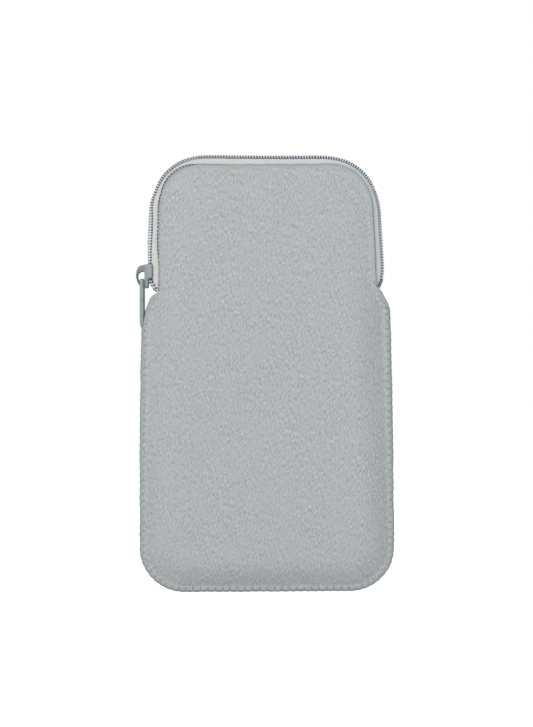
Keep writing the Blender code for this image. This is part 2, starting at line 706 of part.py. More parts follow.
def pull_tab(frame):
    """The pull: a plate with an eye slot, its origin on the eye bar that the crown holds."""
    out = CROWN_BASE + PULL_OUT
    along = CROWN_FOOT + PULL_UP
    pivot = bpy.data.objects.new("pull_pivot", None)
    pivot.parent = frame
    pivot.location = (out, 0, along)
    pivot.rotation_euler.y = -pull_lean(out, along)
    parts.objects.link(pivot)
    top = PULL_EYE_BAR / 2
    half = PULL_WIDTH / 2
    tip = PULL_TIP_WIDTH / 2
    round_off = PULL_EYE_BAR / 2
    right = [
        (tip - round_off, top - PULL_LENGTH),
        (tip, top - PULL_LENGTH + round_off),
        (half, -PULL_EYE_BAR / 2 - PULL_SLOT_LENGTH - PULL_EYE_BAR),
        (half, top - round_off),
        (half - round_off, top),
    ]
    outline = right + [(-across, along) for across, along in reversed(right)]
    thick = PULL_EYE_THICK
    mesh = flat_piece("pull_tab", outline, -thick / 2, thick / 2)
    taper_from = -PULL_EYE_BAR / 2 - PULL_SLOT_LENGTH
    for vertex in mesh.vertices:
        if vertex.co.z < taper_from:
            share = (taper_from - vertex.co.z) / (taper_from - (top - PULL_LENGTH))
            vertex.co.x *= mixed(PULL_BODY_THICK, PULL_TIP_THICK, share) / PULL_EYE_THICK
    made = add("pull_tab", mesh, SLIDER_LOOK, pivot)
    slot_half = PULL_SLOT_WIDTH / 2
    slot_top = -PULL_EYE_BAR / 2
    low = slot_top - PULL_SLOT_LENGTH
    slot = [(slot_half, low), (slot_half, slot_top), (-slot_half, slot_top), (-slot_half, low)]
    joined(made, "pull_slot", flat_piece("pull_slot", slot, -thick, thick), "DIFFERENCE")


def front_zip():
    """The front half of the zip: its flap stretch, and the two short feet below the fold."""
    gap = FOLD_GAP / 2
    far_fold = ZIP_LENGTH - FOLD_S
    stretches = (
        ("front_zip_left_end", 0.0, FOLD_S - gap),
        ("flap_zip", FOLD_S + gap, far_fold - gap),
        ("front_zip_right_end", far_fold + gap, ZIP_LENGTH),
    )
    for prefix, low, high in stretches:
        tape(prefix + "_tape", -1, low, high)
        coil(prefix + "_coil", -1, low, high)
        seam_thread(prefix + "_seam_thread", -1, low, high)


def back_zip():
    tape("back_zip_tape", 1, 0.0, ZIP_LENGTH)
    coil("back_zip_coil", 1, 0.0, ZIP_LENGTH)
    seam_thread("back_zip_seam_thread", 1, 0.0, ZIP_LENGTH)


def main():
    start()
    panel("back", 1)
    panel("front", -1, keep_below=FOLD_Z - FOLD_GAP / 2)
    panel("flap", -1, keep_above=FOLD_Z + FOLD_GAP / 2)
    edge_overlock()
    back_zip()
    front_zip()
    bar_tack("left_bar_tack", TACK_LENGTH / 2, spread(0.0))
    bar_tack("right_bar_tack", ZIP_LENGTH - RIGHT_TACK_IN - TACK_LENGTH / 2, 0.0)
    slider = zip_frame("slider_frame", SLIDER_S)
    slider_body(slider)
    slider_crown(slider)
    pull_tab(slider)


main()
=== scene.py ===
"""Slim insulated lunch pouch, dressed: knit panels, overlocked edge, coil zip, slider and pull."""

import math

import bmesh
import bpy
import numpy as np
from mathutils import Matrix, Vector, noise


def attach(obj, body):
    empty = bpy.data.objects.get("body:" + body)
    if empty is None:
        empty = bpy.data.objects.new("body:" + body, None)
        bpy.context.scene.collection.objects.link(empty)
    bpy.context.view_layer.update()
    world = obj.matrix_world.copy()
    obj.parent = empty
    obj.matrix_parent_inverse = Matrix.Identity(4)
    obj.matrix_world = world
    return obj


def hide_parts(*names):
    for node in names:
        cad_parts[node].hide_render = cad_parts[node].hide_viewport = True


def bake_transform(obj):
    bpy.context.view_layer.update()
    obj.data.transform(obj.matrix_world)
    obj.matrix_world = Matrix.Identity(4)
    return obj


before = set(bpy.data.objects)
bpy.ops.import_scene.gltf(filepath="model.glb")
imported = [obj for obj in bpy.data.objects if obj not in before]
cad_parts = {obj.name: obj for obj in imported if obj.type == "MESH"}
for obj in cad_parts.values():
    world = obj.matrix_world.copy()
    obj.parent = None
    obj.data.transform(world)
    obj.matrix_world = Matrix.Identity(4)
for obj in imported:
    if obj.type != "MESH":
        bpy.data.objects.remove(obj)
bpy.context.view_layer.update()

# Sizes shared with the CAD source, in metres and radians
SHIFT = 0.001021
BODY_WIDTH = 0.143
BODY_CORNER_R = 0.0252
BODY_TAPER = 0.0015
BODY_DEPTH = 0.020
SHOULDER_Z = 0.145
SHOULDER_R = 0.0405
SHOULDER_TURN = math.radians(30)
RIGHT_SHOULDER_R = 0.0120
RIGHT_SHOULDER_TURN = math.radians(55)
SHOULDER_END_R = 0.0025
SHOULDER_END_TURN = math.radians(72)
NOTCH_RISE = 0.0011
ZIP_TOP_Z = 0.2447
ZIP_TOP_WIDTH = 0.129
ZIP_CORNER_R = 0.0312
ZIP_LEAN = math.radians(3.0)
ZIP_END_RISE = 0.0011
SEAM_HALF_DEPTH = 0.0027
GUSSET_HALF_DEPTH = 0.0065
FLAT_INSET = 0.0175
FLAT_CORNER_R = 0.012
LIP_SHARE = 0.2
PANEL_INSET = 0.0054
COIL_THICK = 0.0019
COIL_OUTER_Y = 0.0030
COIL_MESH_DEPTH = 0.0006
COIL_PITCH = 0.00155
TAPE_EDGE_Y = 0.0013
TAPE_HIDDEN = 0.0065
SPREAD = 0.00165
SLIDER_S = 0.0018
SLIDER_LENGTH = 0.0134
DIAMOND_LENGTH = 0.0045

SHOULDER_RISE = (SHOULDER_R - SHOULDER_END_R) * math.sin(SHOULDER_TURN)
SHOULDER_END_Z = SHOULDER_Z + SHOULDER_RISE + SHOULDER_END_R * math.sin(SHOULDER_END_TURN)
RIGHT_SHOULDER_RISE = (RIGHT_SHOULDER_R - SHOULDER_END_R) * math.sin(RIGHT_SHOULDER_TURN)
RIGHT_SHOULDER_Z = SHOULDER_Z + SHOULDER_RISE - RIGHT_SHOULDER_RISE
NOTCH_Z = SHOULDER_END_Z + NOTCH_RISE
SEAM_OPENS_Z = SHOULDER_Z + 0.0100
GUSSET_FULL_Z = NOTCH_Z + 0.0075
ZIP_END_Z = NOTCH_Z + ZIP_END_RISE
ZIP_CENTRE_X = ZIP_TOP_WIDTH / 2 - ZIP_CORNER_R
ZIP_CENTRE_Z = ZIP_TOP_Z - ZIP_CORNER_R
TANGENT_X = ZIP_CENTRE_X + ZIP_CORNER_R * math.cos(ZIP_LEAN)
TANGENT_Z = ZIP_CENTRE_Z + ZIP_CORNER_R * math.sin(ZIP_LEAN)
LEG_LENGTH = (TANGENT_Z - ZIP_END_Z) / math.cos(ZIP_LEAN)
ARC_LENGTH = ZIP_CORNER_R * (math.pi / 2 - ZIP_LEAN)
ZIP_LENGTH = 2 * (LEG_LENGTH + ARC_LENGTH + ZIP_CENTRE_X)

# The outline's shoulders as in the photo, left at -1 and right at 1: height, radius and turn,
# then the points and the way out where the edge turns in to the notch
SHOULDERS = {
    -1: (SHOULDER_Z, SHOULDER_R, SHOULDER_TURN),
    1: (RIGHT_SHOULDER_Z + 0.0005, RIGHT_SHOULDER_R, math.radians(42)),
}
NOTCH_TIPS = {
    -1: ((0.06365, 0.16625), (0.06265, 0.16695), (0.06150, 0.16765), (0.06050, 0.16825)),
    1: (
        *((0.06655, 0.16545), (0.06585, 0.16680), (0.06515, 0.16795)),
        *((0.06440, 0.16880), (0.06385, 0.16945), (0.06335, 0.16990)),
    ),
}
NOTCH_WAYS = {-1: (0.5, 0.866), 1: (0.82, 0.57)}

# The panels' cloth and foam, and their turned edge
KNIT_THICK = 0.00055
FOAM_THICK = 0.0015
THIN_CLOTH = 0.0004
PANEL_THICK = 0.0033
FACE_DEPTH = BODY_DEPTH / 2 - 0.0002
HEM_R = 0.00085
SEAM_GAP = 0.00018
PLAIN_INSET = 0.010

# Stitches, tape and coil wire
STITCH_PITCH = 0.00415
SEAM_PITCH = 0.00215
NEEDLE_INSET = 0.0028
STRAND_LEAN = 0.00022
THREAD_SIDES = 6
TAPE_GAP = 0.00085
COIL_WIRE_R = 0.00032

# Floor and camera; the picture is VIEW_HEIGHT high at the pouch
FLOOR_REACH = 9.0
FLOOR_Z = -0.0002
SENSOR_MM = 36.0
CAMERA_DISTANCE = 2.4
VIEW_HEIGHT = 0.40712


def smooth(share):
    share = min(max(share, 0.0), 1.0)
    return share * share * (3 - 2 * share)


def mixed(low, high, share):
    return low + (high - low) * share


def shares(steps):
    """Even shares from 0 to 1."""
    return [step / steps for step in range(steps + 1)]


def wave(x, z, size, seed):
    """Smooth noise from about -1 to 1 over the panel, with lumps of about that size."""
    return noise.noise(Vector((x / size, z / size, seed)))


# ---------------- the zip's path


def zip_at(s):
    """The point (x, z) on the coil's outer face at s from its left end, and the way out there."""
    if s > ZIP_LENGTH / 2:
        (x, z), (out_x, out_z) = zip_at(ZIP_LENGTH - s)
        return (-x, z), (-out_x, out_z)
    if s <= LEG_LENGTH:
        below = LEG_LENGTH - s
        place = (-TANGENT_X - below * math.sin(ZIP_LEAN), TANGENT_Z - below * math.cos(ZIP_LEAN))
        return place, (-math.cos(ZIP_LEAN), math.sin(ZIP_LEAN))
    turned = ZIP_LEAN + (s - LEG_LENGTH) / ZIP_CORNER_R
    if turned < math.pi / 2:
        out = (-math.cos(turned), math.sin(turned))
        return (-ZIP_CENTRE_X + ZIP_CORNER_R * out[0], ZIP_CENTRE_Z + ZIP_CORNER_R * out[1]), out
    along_top = s - LEG_LENGTH - ARC_LENGTH
    return (-ZIP_CENTRE_X + along_top, ZIP_TOP_Z), (0.0, 1.0)


def sag(s):
    """How far the zip lies in from its true line: dip at the top, tilt, legs, corners, waves."""
    middle = 1 - abs(s - ZIP_LENGTH / 2) / (ZIP_CENTRE_X * 1.1)
    dip = 0.00035 * smooth(middle * 1.6) - 0.0002
    left = mixed(0.00025, -0.0004, smooth((s - 0.014) / 0.016)) * (1 - smooth((s - 0.044) / 0.016))
    (x, _), (_, out_z) = zip_at(s)
    tilt = out_z * (0.00012 + 0.00045 * max(min(x / 0.05, 1.0), -1.0))
    right = 0.0004 * smooth((s - ZIP_LENGTH + 0.0145) / 0.007)
    near = 0.00025 * smooth((0.026 - s) / 0.010)
    own = min(s, ZIP_LENGTH - s)
    corners = 0.00048 * math.exp(-(((own - 0.056) / 0.008) ** 2))
    corners += 0.0003 * math.exp(-(((own - LEG_LENGTH - 0.9 * ARC_LENGTH) / 0.008) ** 2))
    waves = 0.00012 * noise.noise(Vector((s / 0.011, 3.7, 0.0)))
    return dip + left + right + near + corners + tilt + waves


def end_bend(s):
    """How far the two ends of the coil turn in towards the notch."""
    if s < ZIP_LENGTH / 2:
        return 0.0051 * max(1 - s / 0.0080, 0.0) ** 1.6
    to_end = ZIP_LENGTH - s
    return 0.0014 * max(1 - to_end / 0.0095, 0.0) + 0.0012 * smooth((0.0068 - to_end) / 0.0050)


def inset_at(s):
    """How far in from the coil's outer face the panels' edge lies at s: widest on the left."""
    own = min(s, ZIP_LENGTH - s)
    corner = LEG_LENGTH + ARC_LENGTH / 2
    if own > corner:
        return mixed(0.0037, 0.0053, smooth((own - corner) / 0.030))
    low, high = (0.0072, 0.0058) if s < ZIP_LENGTH / 2 else (0.0046, 0.0043)
    leg = mixed(low, high, smooth(own / 0.034))
    return mixed(0.0037, leg, smooth((corner - own) / 0.034))


def zip_point(s, out, y, eased=True):
    """A point at distance s along the zip, out from the coil's outer face by out, at depth y."""
    (x, z), (out_x, out_z) = zip_at(s)
    if eased:
        out -= sag(s)
    return Vector((SHIFT + x + out * out_x, y, z + out * out_z))


def spread(s):
    """How far each coil row stands off the middle at s: the slider's diamond parts the rows."""
    parted_up_to = SLIDER_S + DIAMOND_LENGTH
    closed_from = SLIDER_S + SLIDER_LENGTH
    return SPREAD * smooth((closed_from - s) / (closed_from - parted_up_to))


def edge_half_depth(z):
    """Half the pouch's depth at a panel's edge: pinched along the seam, open above the notch."""
    share = smooth((z - SEAM_OPENS_Z) / (GUSSET_FULL_Z - SEAM_OPENS_Z))
    return mixed(SEAM_HALF_DEPTH, GUSSET_HALF_DEPTH, share)


def seam_opens(z):
    """From 0 on the seam to 1 above the notch, where the two panels part."""
    return smooth((z - SEAM_OPENS_Z) / (NOTCH_Z + 0.002 - SEAM_OPENS_Z))


# ---------------- node materials


class Value:
    """A node's output in a material: whatever is done with it adds a node."""

    def __init__(self, look, socket):
        self.look, self.socket = look, socket

    def math(self, operation, other=0.0):
        return self.look.add("ShaderNodeMath", {0: self, 1: other}, operation=operation)

    def __add__(self, other):
        return self.math("ADD", other)

    def __sub__(self, other):
        return self.math("SUBTRACT", other)

    def __mul__(self, other):
        return self.math("MULTIPLY", other)

    def clamped(self):
        self.socket.node.use_clamp = True
        return self

    def ripple(self, pitch):
        """A sine wave of that pitch."""
        return (self * (2 * math.pi / pitch)).math("SINE")

    def spread(self, low, high, to_low=0.0, to_high=1.0):
        """The range from low to high, spread over another range, clamped."""
        inputs = {0: self, 1: low, 2: high, 3: to_low, 4: to_high}
        return self.look.add("ShaderNodeMapRange", inputs, interpolation_type="SMOOTHSTEP")

    def turned(self, scale, degrees=0.0, offset=(0, 0, 0)):
        """Coordinates turned by an angle in their plane, then scaled."""
        angle = (0, 0, math.radians(degrees))
        made = self.look.add("ShaderNodeMapping", {0: self, "Rotation": angle, "Location": offset})
        return self.look.add("ShaderNodeVectorMath", {0: made, 1: scale}, operation="MULTIPLY")

    def noise(self, scale=1.0, detail=2.0, roughness=0.5):
        inputs = {"Vector": self, "Scale": scale, "Detail": detail, "Roughness": roughness}
        return self.look.add("ShaderNodeTexNoise", inputs, "Fac")

    def split(self):
        """The three parts of a vector."""
        first = self.look.add("ShaderNodeSeparateXYZ", {0: self})
        return [Value(self.look, socket) for socket in first.socket.node.outputs]


class Look:
    """A node material as it is built."""

    def __init__(self, name, colour, roughness, metallic=0.0, sheen=0.0, coat=0.0):
        self.material = bpy.data.materials.new(name)
        self.material.use_nodes = True
        self.tree = self.material.node_tree
        self.shader = self.tree.nodes["Principled BSDF"]
        self.fill(self.shader, {"Base Color": (*colour, 1), "Roughness": roughness})
        self.fill(self.shader, {"Metallic": metallic, "Coat Weight": coat})
        self.fill(self.shader, {"Sheen Weight": sheen, "Sheen Roughness": 0.4})

    def fill(self, node, inputs):
        """Links or numbers for a node's inputs."""
        for key, value in inputs.items():
            if isinstance(value, Value):
                self.tree.links.new(value.socket, node.inputs[key])
            else:
                node.inputs[key].default_value = value

    def add(self, kind, inputs=None, output=0, **settings):
        """A new node's output."""
        node = self.tree.nodes.new(kind)
        for key, value in settings.items():
            setattr(node, key, value)
        self.fill(node, inputs or {})
        return Value(self, node.outputs[output])

    def uv(self, name="rest"):
        return self.add("ShaderNodeUVMap", uv_map=name)

    def mix(self, share, a, b):
        """The colour at that share of the way from a to b."""
        a, b = (colour if isinstance(colour, Value) else (*colour, 1) for colour in (a, b))
        return self.add("ShaderNodeMix", {0: share, 6: a, 7: b}, 2, data_type="RGBA")

    def finish(self, colour, roughness, height, distance, strength):
        """The material, with its colour, roughness and bump in place."""
        bump = {"Height": height, "Distance": distance, "Strength": strength}
        normal = self.add("ShaderNodeBump", bump)
        self.fill(self.shader, {"Base Color": colour, "Roughness": roughness, "Normal": normal})
        return self.material


def toned(colour, *shares):
    """A colour times one share, or its channels times one share each."""
    return [channel * share for channel, share in zip(colour, shares * 3)]


def length(a, b):
    return (a * a + b * b).math("SQRT")


def knit_look(name, seed):
    """Pale grey knit: slanted flecks, patches where they fade, seam marks and painted shade at its
    edge.
    """
    mid = (0.376, 0.396, 0.401)
    look = Look(name, mid, 0.88, sheen=0.12)
    place = look.uv()
    offset = (seed, seed * 0.7, 0)
    flecks = place.turned((2000, 470, 1), 12, offset).noise(1.0, 0.6, 0.4)
    cross = place.turned((1700, 560, 1), -24, offset).noise(1.0, 0.6, 0.4)
    sparse = place.turned((1500, 430, 1), 13, (seed + 5.1, 0.3, 0)).noise(1.0, 0.0)
    crossed = place.turned((30, 42, 1), 10, (seed + 2.3, 1.7, 0)).noise(1.0, 1.5)
    dash = look.add("ShaderNodeMix", {0: crossed.spread(0.58, 0.70, 0.0, 0.5), 2: flecks, 3: cross})
    contrast = place.noise(62.0, 2.0, 0.55).spread(0.32, 0.62, 0.55, 1.0)
    tone = (dash.spread(0.3, 0.7) - 0.5 - sparse.spread(0.62, 0.76) * 0.8) * contrast
    grain = (place.noise(2600.0, 1.0, 0.6) - 0.5) * 0.35
    total = (tone + grain + 0.53).clamped()
    flecked = look.mix(total, toned(mid, 0.78), toned(mid, 1.22))
    warmth = place.noise(14.0).spread(0.35, 0.65)
    tinted = look.mix(warmth, toned(mid, 0.975, 0.99, 1.0), toned(mid, 1.02, 1.0, 0.985))
    shade = look.mix(0.2, flecked, tinted)

    # Along the overlocked edge: painted shade on the margin, and needle holes dented with painted
    # shade
    run, inset, _ = look.uv("edge").split()
    sewn = inset.spread(0.0020, 0.0036, 1.0, 0.0)
    shade = look.mix(sewn * 0.55, shade, toned(mid, 0.80, 0.88, 0.88))
    gap = length(run.math("PINGPONG", STITCH_PITCH / 2), inset - NEEDLE_INSET)
    hole_dent_and_shade = gap.spread(0.00020, 0.00070, 1.0, 0.0) * run.spread(-0.13, -0.07, 0.25, 1.0)
    shade = look.mix(hole_dent_and_shade * 0.5, shade, toned(mid, 0.42))

    # The edge turned in at the zip, where the edge map's inset has 1 added
    at_zip = inset - 1.0
    zipped = at_zip.spread(-0.0009, -0.0004)
    high_up = run.math("ABSOLUTE").spread(0.268, 0.300, 0.25, 0.85)
    # Painted shade: a darker, cooler band along the turned edge high up the sides
    painted_zip_edge_shade = zipped * at_zip.spread(0.0009, 0.0026, 1.0, 0.0) * high_up
    shade = look.mix(painted_zip_edge_shade, shade, toned(mid, 0.78, 0.90, 0.94))
    # Painted shadow: a thin dark line at the fold, between tape and panel
    painted_shadow_line = zipped * at_zip.spread(0.00030, 0.00065, 1.0, 0.0)
    shade = look.mix(painted_shadow_line * 0.2, shade, (0.17, 0.17, 0.16))

    rib = place.turned((1, 1, 1), 15).split()[0].ripple(0.00062)
    height = rib * 0.25 + tone * 1.2 - hole_dent_and_shade * 2.0
    return look.finish(shade, total.spread(0.1, 0.9, 0.94, 0.8), height, 0.00012, 0.6)


def lining_look():
    """Fine tricot ribs, with a faint change of tone over them."""
    colour, pitch = (0.32, 0.34, 0.346), 0.0009
    look = Look("lining_tricot", colour, 0.8, sheen=0.1)
    place = look.uv()
    x, z, _ = place.split()
    weave = x.ripple(pitch) * 0.3 + z.ripple(pitch * 1.3) * 0.2
    total = (weave + (place.noise(55.0, 3.0) - 0.5) + 0.5).clamped()
    shade = look.mix(total, toned(colour, 0.88), toned(colour, 1.12))
    return look.finish(shade, total.spread(0.0, 1.0, 0.88, 0.72), weave, 0.0001, 0.6)


def foam_look():
    """Closed-cell foam: small round cells in the cut edge."""
    look = Look("foam_cells", (0.27, 0.28, 0.29), 0.95)
    place = look.add("ShaderNodeTexCoord", output="Object")
    cells = look.add("ShaderNodeTexVoronoi", {"Vector": place, "Scale": 1900.0}, "Distance")
    tone = (cells * 0.7 + place.noise(60.0)).clamped()
    shade = look.mix(tone, (0.2, 0.21, 0.22), (0.34, 0.35, 0.36))
    return look.finish(shade, cells.spread(0.0, 1.0, 0.98, 0.86), cells, 0.0002, 0.7)


def plies(look, twist):
    """The plies of a thread, slanting round it."""
    along, round_it, _ = look.uv().split()
    return (along * (2 * math.pi / twist) + round_it * (2 * math.pi)).math("SINE")


def thread_look(name, colour, twist, amount):
    """Spun thread: slanting plies along it, and fuzz."""
    look = Look(name, colour, 0.75, sheen=0.15)
    ply = plies(look, twist)
    total = (ply * 0.35 + look.uv().turned((2500, 5, 1)).noise()).clamped()
    shade = look.mix(total, toned(colour, 1 - amount), toned(colour, 1 + amount))
    return look.finish(shade, total.spread(0.0, 1.0, 0.85, 0.65), ply, 0.00006, 0.6)


def core_look():
    """The dark cord in a coil row: slate yarns twisted round each other, painted shade in the gaps.
    """
    look = Look("coil_core_cord", (0.06, 0.075, 0.11), 0.8)
    ply = plies(look, 0.0007)
    total = (ply * 0.3 + look.uv().turned((1800, 4, 1)).noise()).clamped()
    shade = look.mix(total, (0.042, 0.058, 0.072), (0.10, 0.13, 0.155))
    return look.finish(shade, total.spread(0.0, 1.0, 0.9, 0.7), ply, 0.00005, 0.6)


def tape_look():
    """Cream herringbone tape: slanted yarns that turn about at each rib."""
    warm, cool = (0.73, 0.72, 0.655), (0.48, 0.51, 0.54)
    look = Look("herringbone_tape", warm, 0.85, sheen=0.1)
    place = look.uv()
    along, across, _ = place.split()
    yarn = (along + across.math("PINGPONG", 0.0012) * 1.3).ripple(0.0016)
    patch = place.turned((640, 900, 1)).noise()
    blotch = place.turned((1500, 1500, 1)).noise(1.0, 1.0)
    total = (yarn * 0.30 + (patch * 0.6 + blotch * 0.4)).clamped()
    shade = look.mix(total.spread(0.40, 0.60), cool, warm)
    return look.finish(shade, total.spread(0.0, 1.0, 0.92, 0.78), yarn, 0.00014, 0.8)


def coil_look():
    """Blue-grey nylon monofilament, glossy and a little cloudy."""
    pale, deep = (0.82, 0.85, 0.92), (0.64, 0.68, 0.76)
    look = Look("coil_nylon", pale, 0.32, coat=0.15)
    place = look.uv()
    cloud = place.turned((700, 3, 1)).noise()
    slow = place.turned((28, 1, 1)).noise()
    shade = look.mix((cloud * 0.6 + slow * 0.4).spread(0.3, 0.7), deep, pale)
    ridge = place.split()[0].ripple(0.00021)
    return look.finish(shade, cloud.spread(0.3, 0.7, 0.26, 0.42), ridge, 0.000012, 0.3)


def metal_look(name, painted_shade_mask, tone=1.0):
    """Satin grey-green paint on die-cast metal, worn at its edges, with painted shade where the
    mask says.
    """
    mid = toned((0.178, 0.214, 0.218), tone)
    look = Look(name, mid, 0.5, metallic=0.15, coat=0.05)
    place = look.add("ShaderNodeTexCoord", output="Object")
    cloud = place.noise(420.0, 3.0, 0.6)
    fine = place.noise(4200.0, 2.0, 0.6)
    edge = look.add("ShaderNodeNewGeometry", output="Pointiness")
    worn = edge.spread(0.505, 0.56) * cloud.spread(0.3, 0.65, 0.35, 1.0)
    body = look.mix(cloud.spread(0.3, 0.7), toned(mid, 0.88), toned(mid, 1.12))
    painted = look.mix(worn * 0.6, body, (0.34, 0.39, 0.39))
    x, _, z = place.split()
    # Painted shade: where the mask says, the paint is darkened towards near black
    shade = look.mix(painted_shade_mask(x, z), painted, (0.045, 0.055, 0.055))
    rough = fine.spread(0.3, 0.7, 0.44, 0.58) - worn * 0.08
    return look.finish(shade, rough, fine + cloud * 0.6, 0.00002, 0.35)


def shell_painted_shade(x, z):
    """Painted shade on the inner edges of the slider's side and of its nose."""
    nose = z.math("LESS_THAN", 0.1763)
    return (x + nose * 0.00225).spread(SHIFT - 0.06385, SHIFT - 0.06335, 0.0, 0.75)


def strap_painted_shade(x, z):
    """Painted shade on the inner side of the strap's bow."""
    painted_shades = []
    for at_x, at_z, squash, near, far in (
        (0.06820, 0.1760, 0.82, 0.00310, 0.00365),
        (0.06880, 0.1772, 1.37, 0.00325, 0.00385),
    ):
        away = length(x - (SHIFT - at_x), (z - at_z) * squash)
        painted_shades.append(away.spread(near, far, 0.85, 0.0))
    return painted_shades[0].math("MAXIMUM", painted_shades[1])


def pull_painted_shade(x, _):
    """Painted shade on the pull's side against the pouch, and in a fine line round its outer side.
    """
    inner = x.spread(SHIFT - 0.06905, SHIFT - 0.06825, 0.0, 0.75)
    return inner + x.spread(SHIFT - 0.07078, SHIFT - 0.07040, 0.5, 0.0)


knit_front = knit_look("knit_front", 0.0)
knit_back = knit_look("knit_back", 1.9)
lining = lining_look()
foam = foam_look()
overlock_thread = thread_look("overlock_thread", (0.35, 0.377, 0.38), 0.0006, 0.1)
# Real stitches, coloured near-black brown as painted shadow of the valley they lie in
seam_thread = thread_look("seam_thread", (0.10, 0.086, 0.07), 0.0005, 0.16)
coil_thread = thread_look("coil_stitch_thread", (0.56, 0.59, 0.63), 0.0004, 0.12)
tape_cloth = tape_look()
coil_nylon = coil_look()
# The cord is real, but its dark colour is painted shade for the gaps between the coil's loops
core_cord = core_look()
tack_thread = thread_look("tack_thread", (0.17, 0.205, 0.21), 0.0005, 0.15)
shell_metal = metal_look("painted_slider", shell_painted_shade)
strap_metal = metal_look("painted_strap", strap_painted_shade)
pull_metal = metal_look("painted_pull", pull_painted_shade, 1.38)


# ---------------- mesh helpers


def piece(name, points, faces, uvs, look, slot, edge=None):
    """A mesh piece; uvs, and edge if given, hold one pair for each vertex."""
    mesh = bpy.data.meshes.new(name)
    mesh.from_pydata([tuple(p) for p in points], [], faces)
    loops = np.zeros(len(mesh.loops), np.int32)
    mesh.loops.foreach_get("vertex_index", loops)
    for title, table in (("rest", uvs), ("edge", edge)):
        if table:
            layer = mesh.uv_layers.new(name=title)
            layer.data.foreach_set("uv", np.array(table, np.float32)[loops].ravel())
    mesh.materials.append(look)
    mesh.shade_smooth()
    mesh.update()
    made = bpy.data.objects.new(name, mesh)
    bpy.context.scene.collection.objects.link(made)
    return made


def applied(made):
    """The piece with its modifiers made part of its mesh."""
    graph = bpy.context.evaluated_depsgraph_get()
    shape = made.evaluated_get(graph)
    mesh = bpy.data.meshes.new_from_object(shape, preserve_all_data_layers=True, depsgraph=graph)
    made.modifiers.clear()
    old = made.data
    made.data = mesh
    mesh.name = made.name
    bpy.data.meshes.remove(old)
    return made


def modified(made, kind, **settings):
    modifier = made.modifiers.new(kind.lower(), kind)
    for key, value in settings.items():
        setattr(modifier, key, value)
    return made


def tube_parts(path, radius, sides=8, start=0, along=0.0):
    """Points, faces and uvs of a round tube through the path, closed at its ends."""
    points, faces, uvs = [], [], []
    count = len(path)
    ends = [(path[max(i - 1, 0)], path[min(i + 1, count - 1)]) for i in range(count)]
    tangents = [(after - before).normalized() for before, after in ends]
    normal = tangents[0].orthogonal().normalized()
    run = along
    for i, tangent in enumerate(tangents):
        normal = (normal - tangent * normal.dot(tangent)).normalized()
        other = tangent.cross(normal)
        if i:
            run += (path[i] - path[i - 1]).length
        r = radius(i / (count - 1)) if callable(radius) else radius
        for k in range(sides):
            angle = 2 * math.pi * k / sides
            points.append(path[i] + (normal * math.cos(angle) + other * math.sin(angle)) * r)
            uvs.append((run, k / sides))
    for i in range(count - 1):
        for k in range(sides):
            j = (k + 1) % sides
            a = start + i * sides
            faces.append((a + k, a + j, a + sides + j, a + sides + k))
    faces.append(tuple(start + k for k in reversed(range(sides))))
    faces.append(tuple(start + (count - 1) * sides + k for k in range(sides)))
    return points, faces, uvs


def threads(name, paths, radius, look, slot):
    """One piece of many tubes; each starts elsewhere on the look's map."""
    points, faces, uvs = [], [], []
    for index, path in enumerate(paths):
        new = tube_parts(path, radius, THREAD_SIDES, len(points), index * 0.0137)
        points += new[0]
        faces += new[1]
        uvs += new[2]
    return piece(name, points, faces, uvs, look, slot)


def grid_faces(rows, width):
    """Faces of a sheet of points in rows."""
    corners = [i * width + j for i in range(rows - 1) for j in range(width - 1)]
    return [(a, a + 1, a + width + 1, a + width) for a in corners]


# ---------------- the panels


def arc(x, z, radius, angles):
    """Points round a centre: (x, z, way out)."""
    ways = [(math.cos(angle), math.sin(angle)) for angle in angles]
    return [(x + radius * way[0], z + radius * way[1], way) for way in ways]


def body_side(side):
    """A side of the body's outline, as a right one, up from the bottom middle: (x, z, way out)."""
    shoulder_z, shoulder_r, shoulder_turn = SHOULDERS[side]
    half = BODY_WIDTH / 2
    corner_x = half - BODY_CORNER_R
    points = [(corner_x * share, 0.0, (0.0, -1.0)) for share in shares(40)[:-1]]
    turns = [math.pi / 2 * (share - 1) for share in shares(36)]
    points += arc(corner_x, BODY_CORNER_R, BODY_CORNER_R, turns)
    for share in shares(100)[1:-1]:
        x = half - BODY_TAPER * share * share
        points.append((x, mixed(BODY_CORNER_R, shoulder_z, share), (1.0, 0.0)))
    turns = [shoulder_turn * share for share in shares(18)]
    points += arc(half - BODY_TAPER - shoulder_r, shoulder_z, shoulder_r, turns)
    return points + [(x, z, NOTCH_WAYS[side]) for x, z in NOTCH_TIPS[side]]


def zip_side(side):
    """A side of the panel's edge at the zip, as a right one, from the notch to the top's middle."""
    leg_low = (NOTCH_Z + (0.0013 if side < 0 else 0.0038) - ZIP_END_Z) / math.cos(ZIP_LEAN)
    distances = [mixed(leg_low, LEG_LENGTH, share) for share in shares(38)[:-1]]
    distances += [LEG_LENGTH + ARC_LENGTH * share for share in shares(40)]
    distances += [LEG_LENGTH + ARC_LENGTH + ZIP_CENTRE_X * share for share in shares(30)[1:]]
    points = []
    for s in distances:
        inset = inset_at(s if side < 0 else ZIP_LENGTH - s)
        place = zip_point(s, -inset, 0.0, False)
        out = zip_at(s)[1]
        points.append((SHIFT - place.x, place.z, (-out[0], out[1])))
    return points


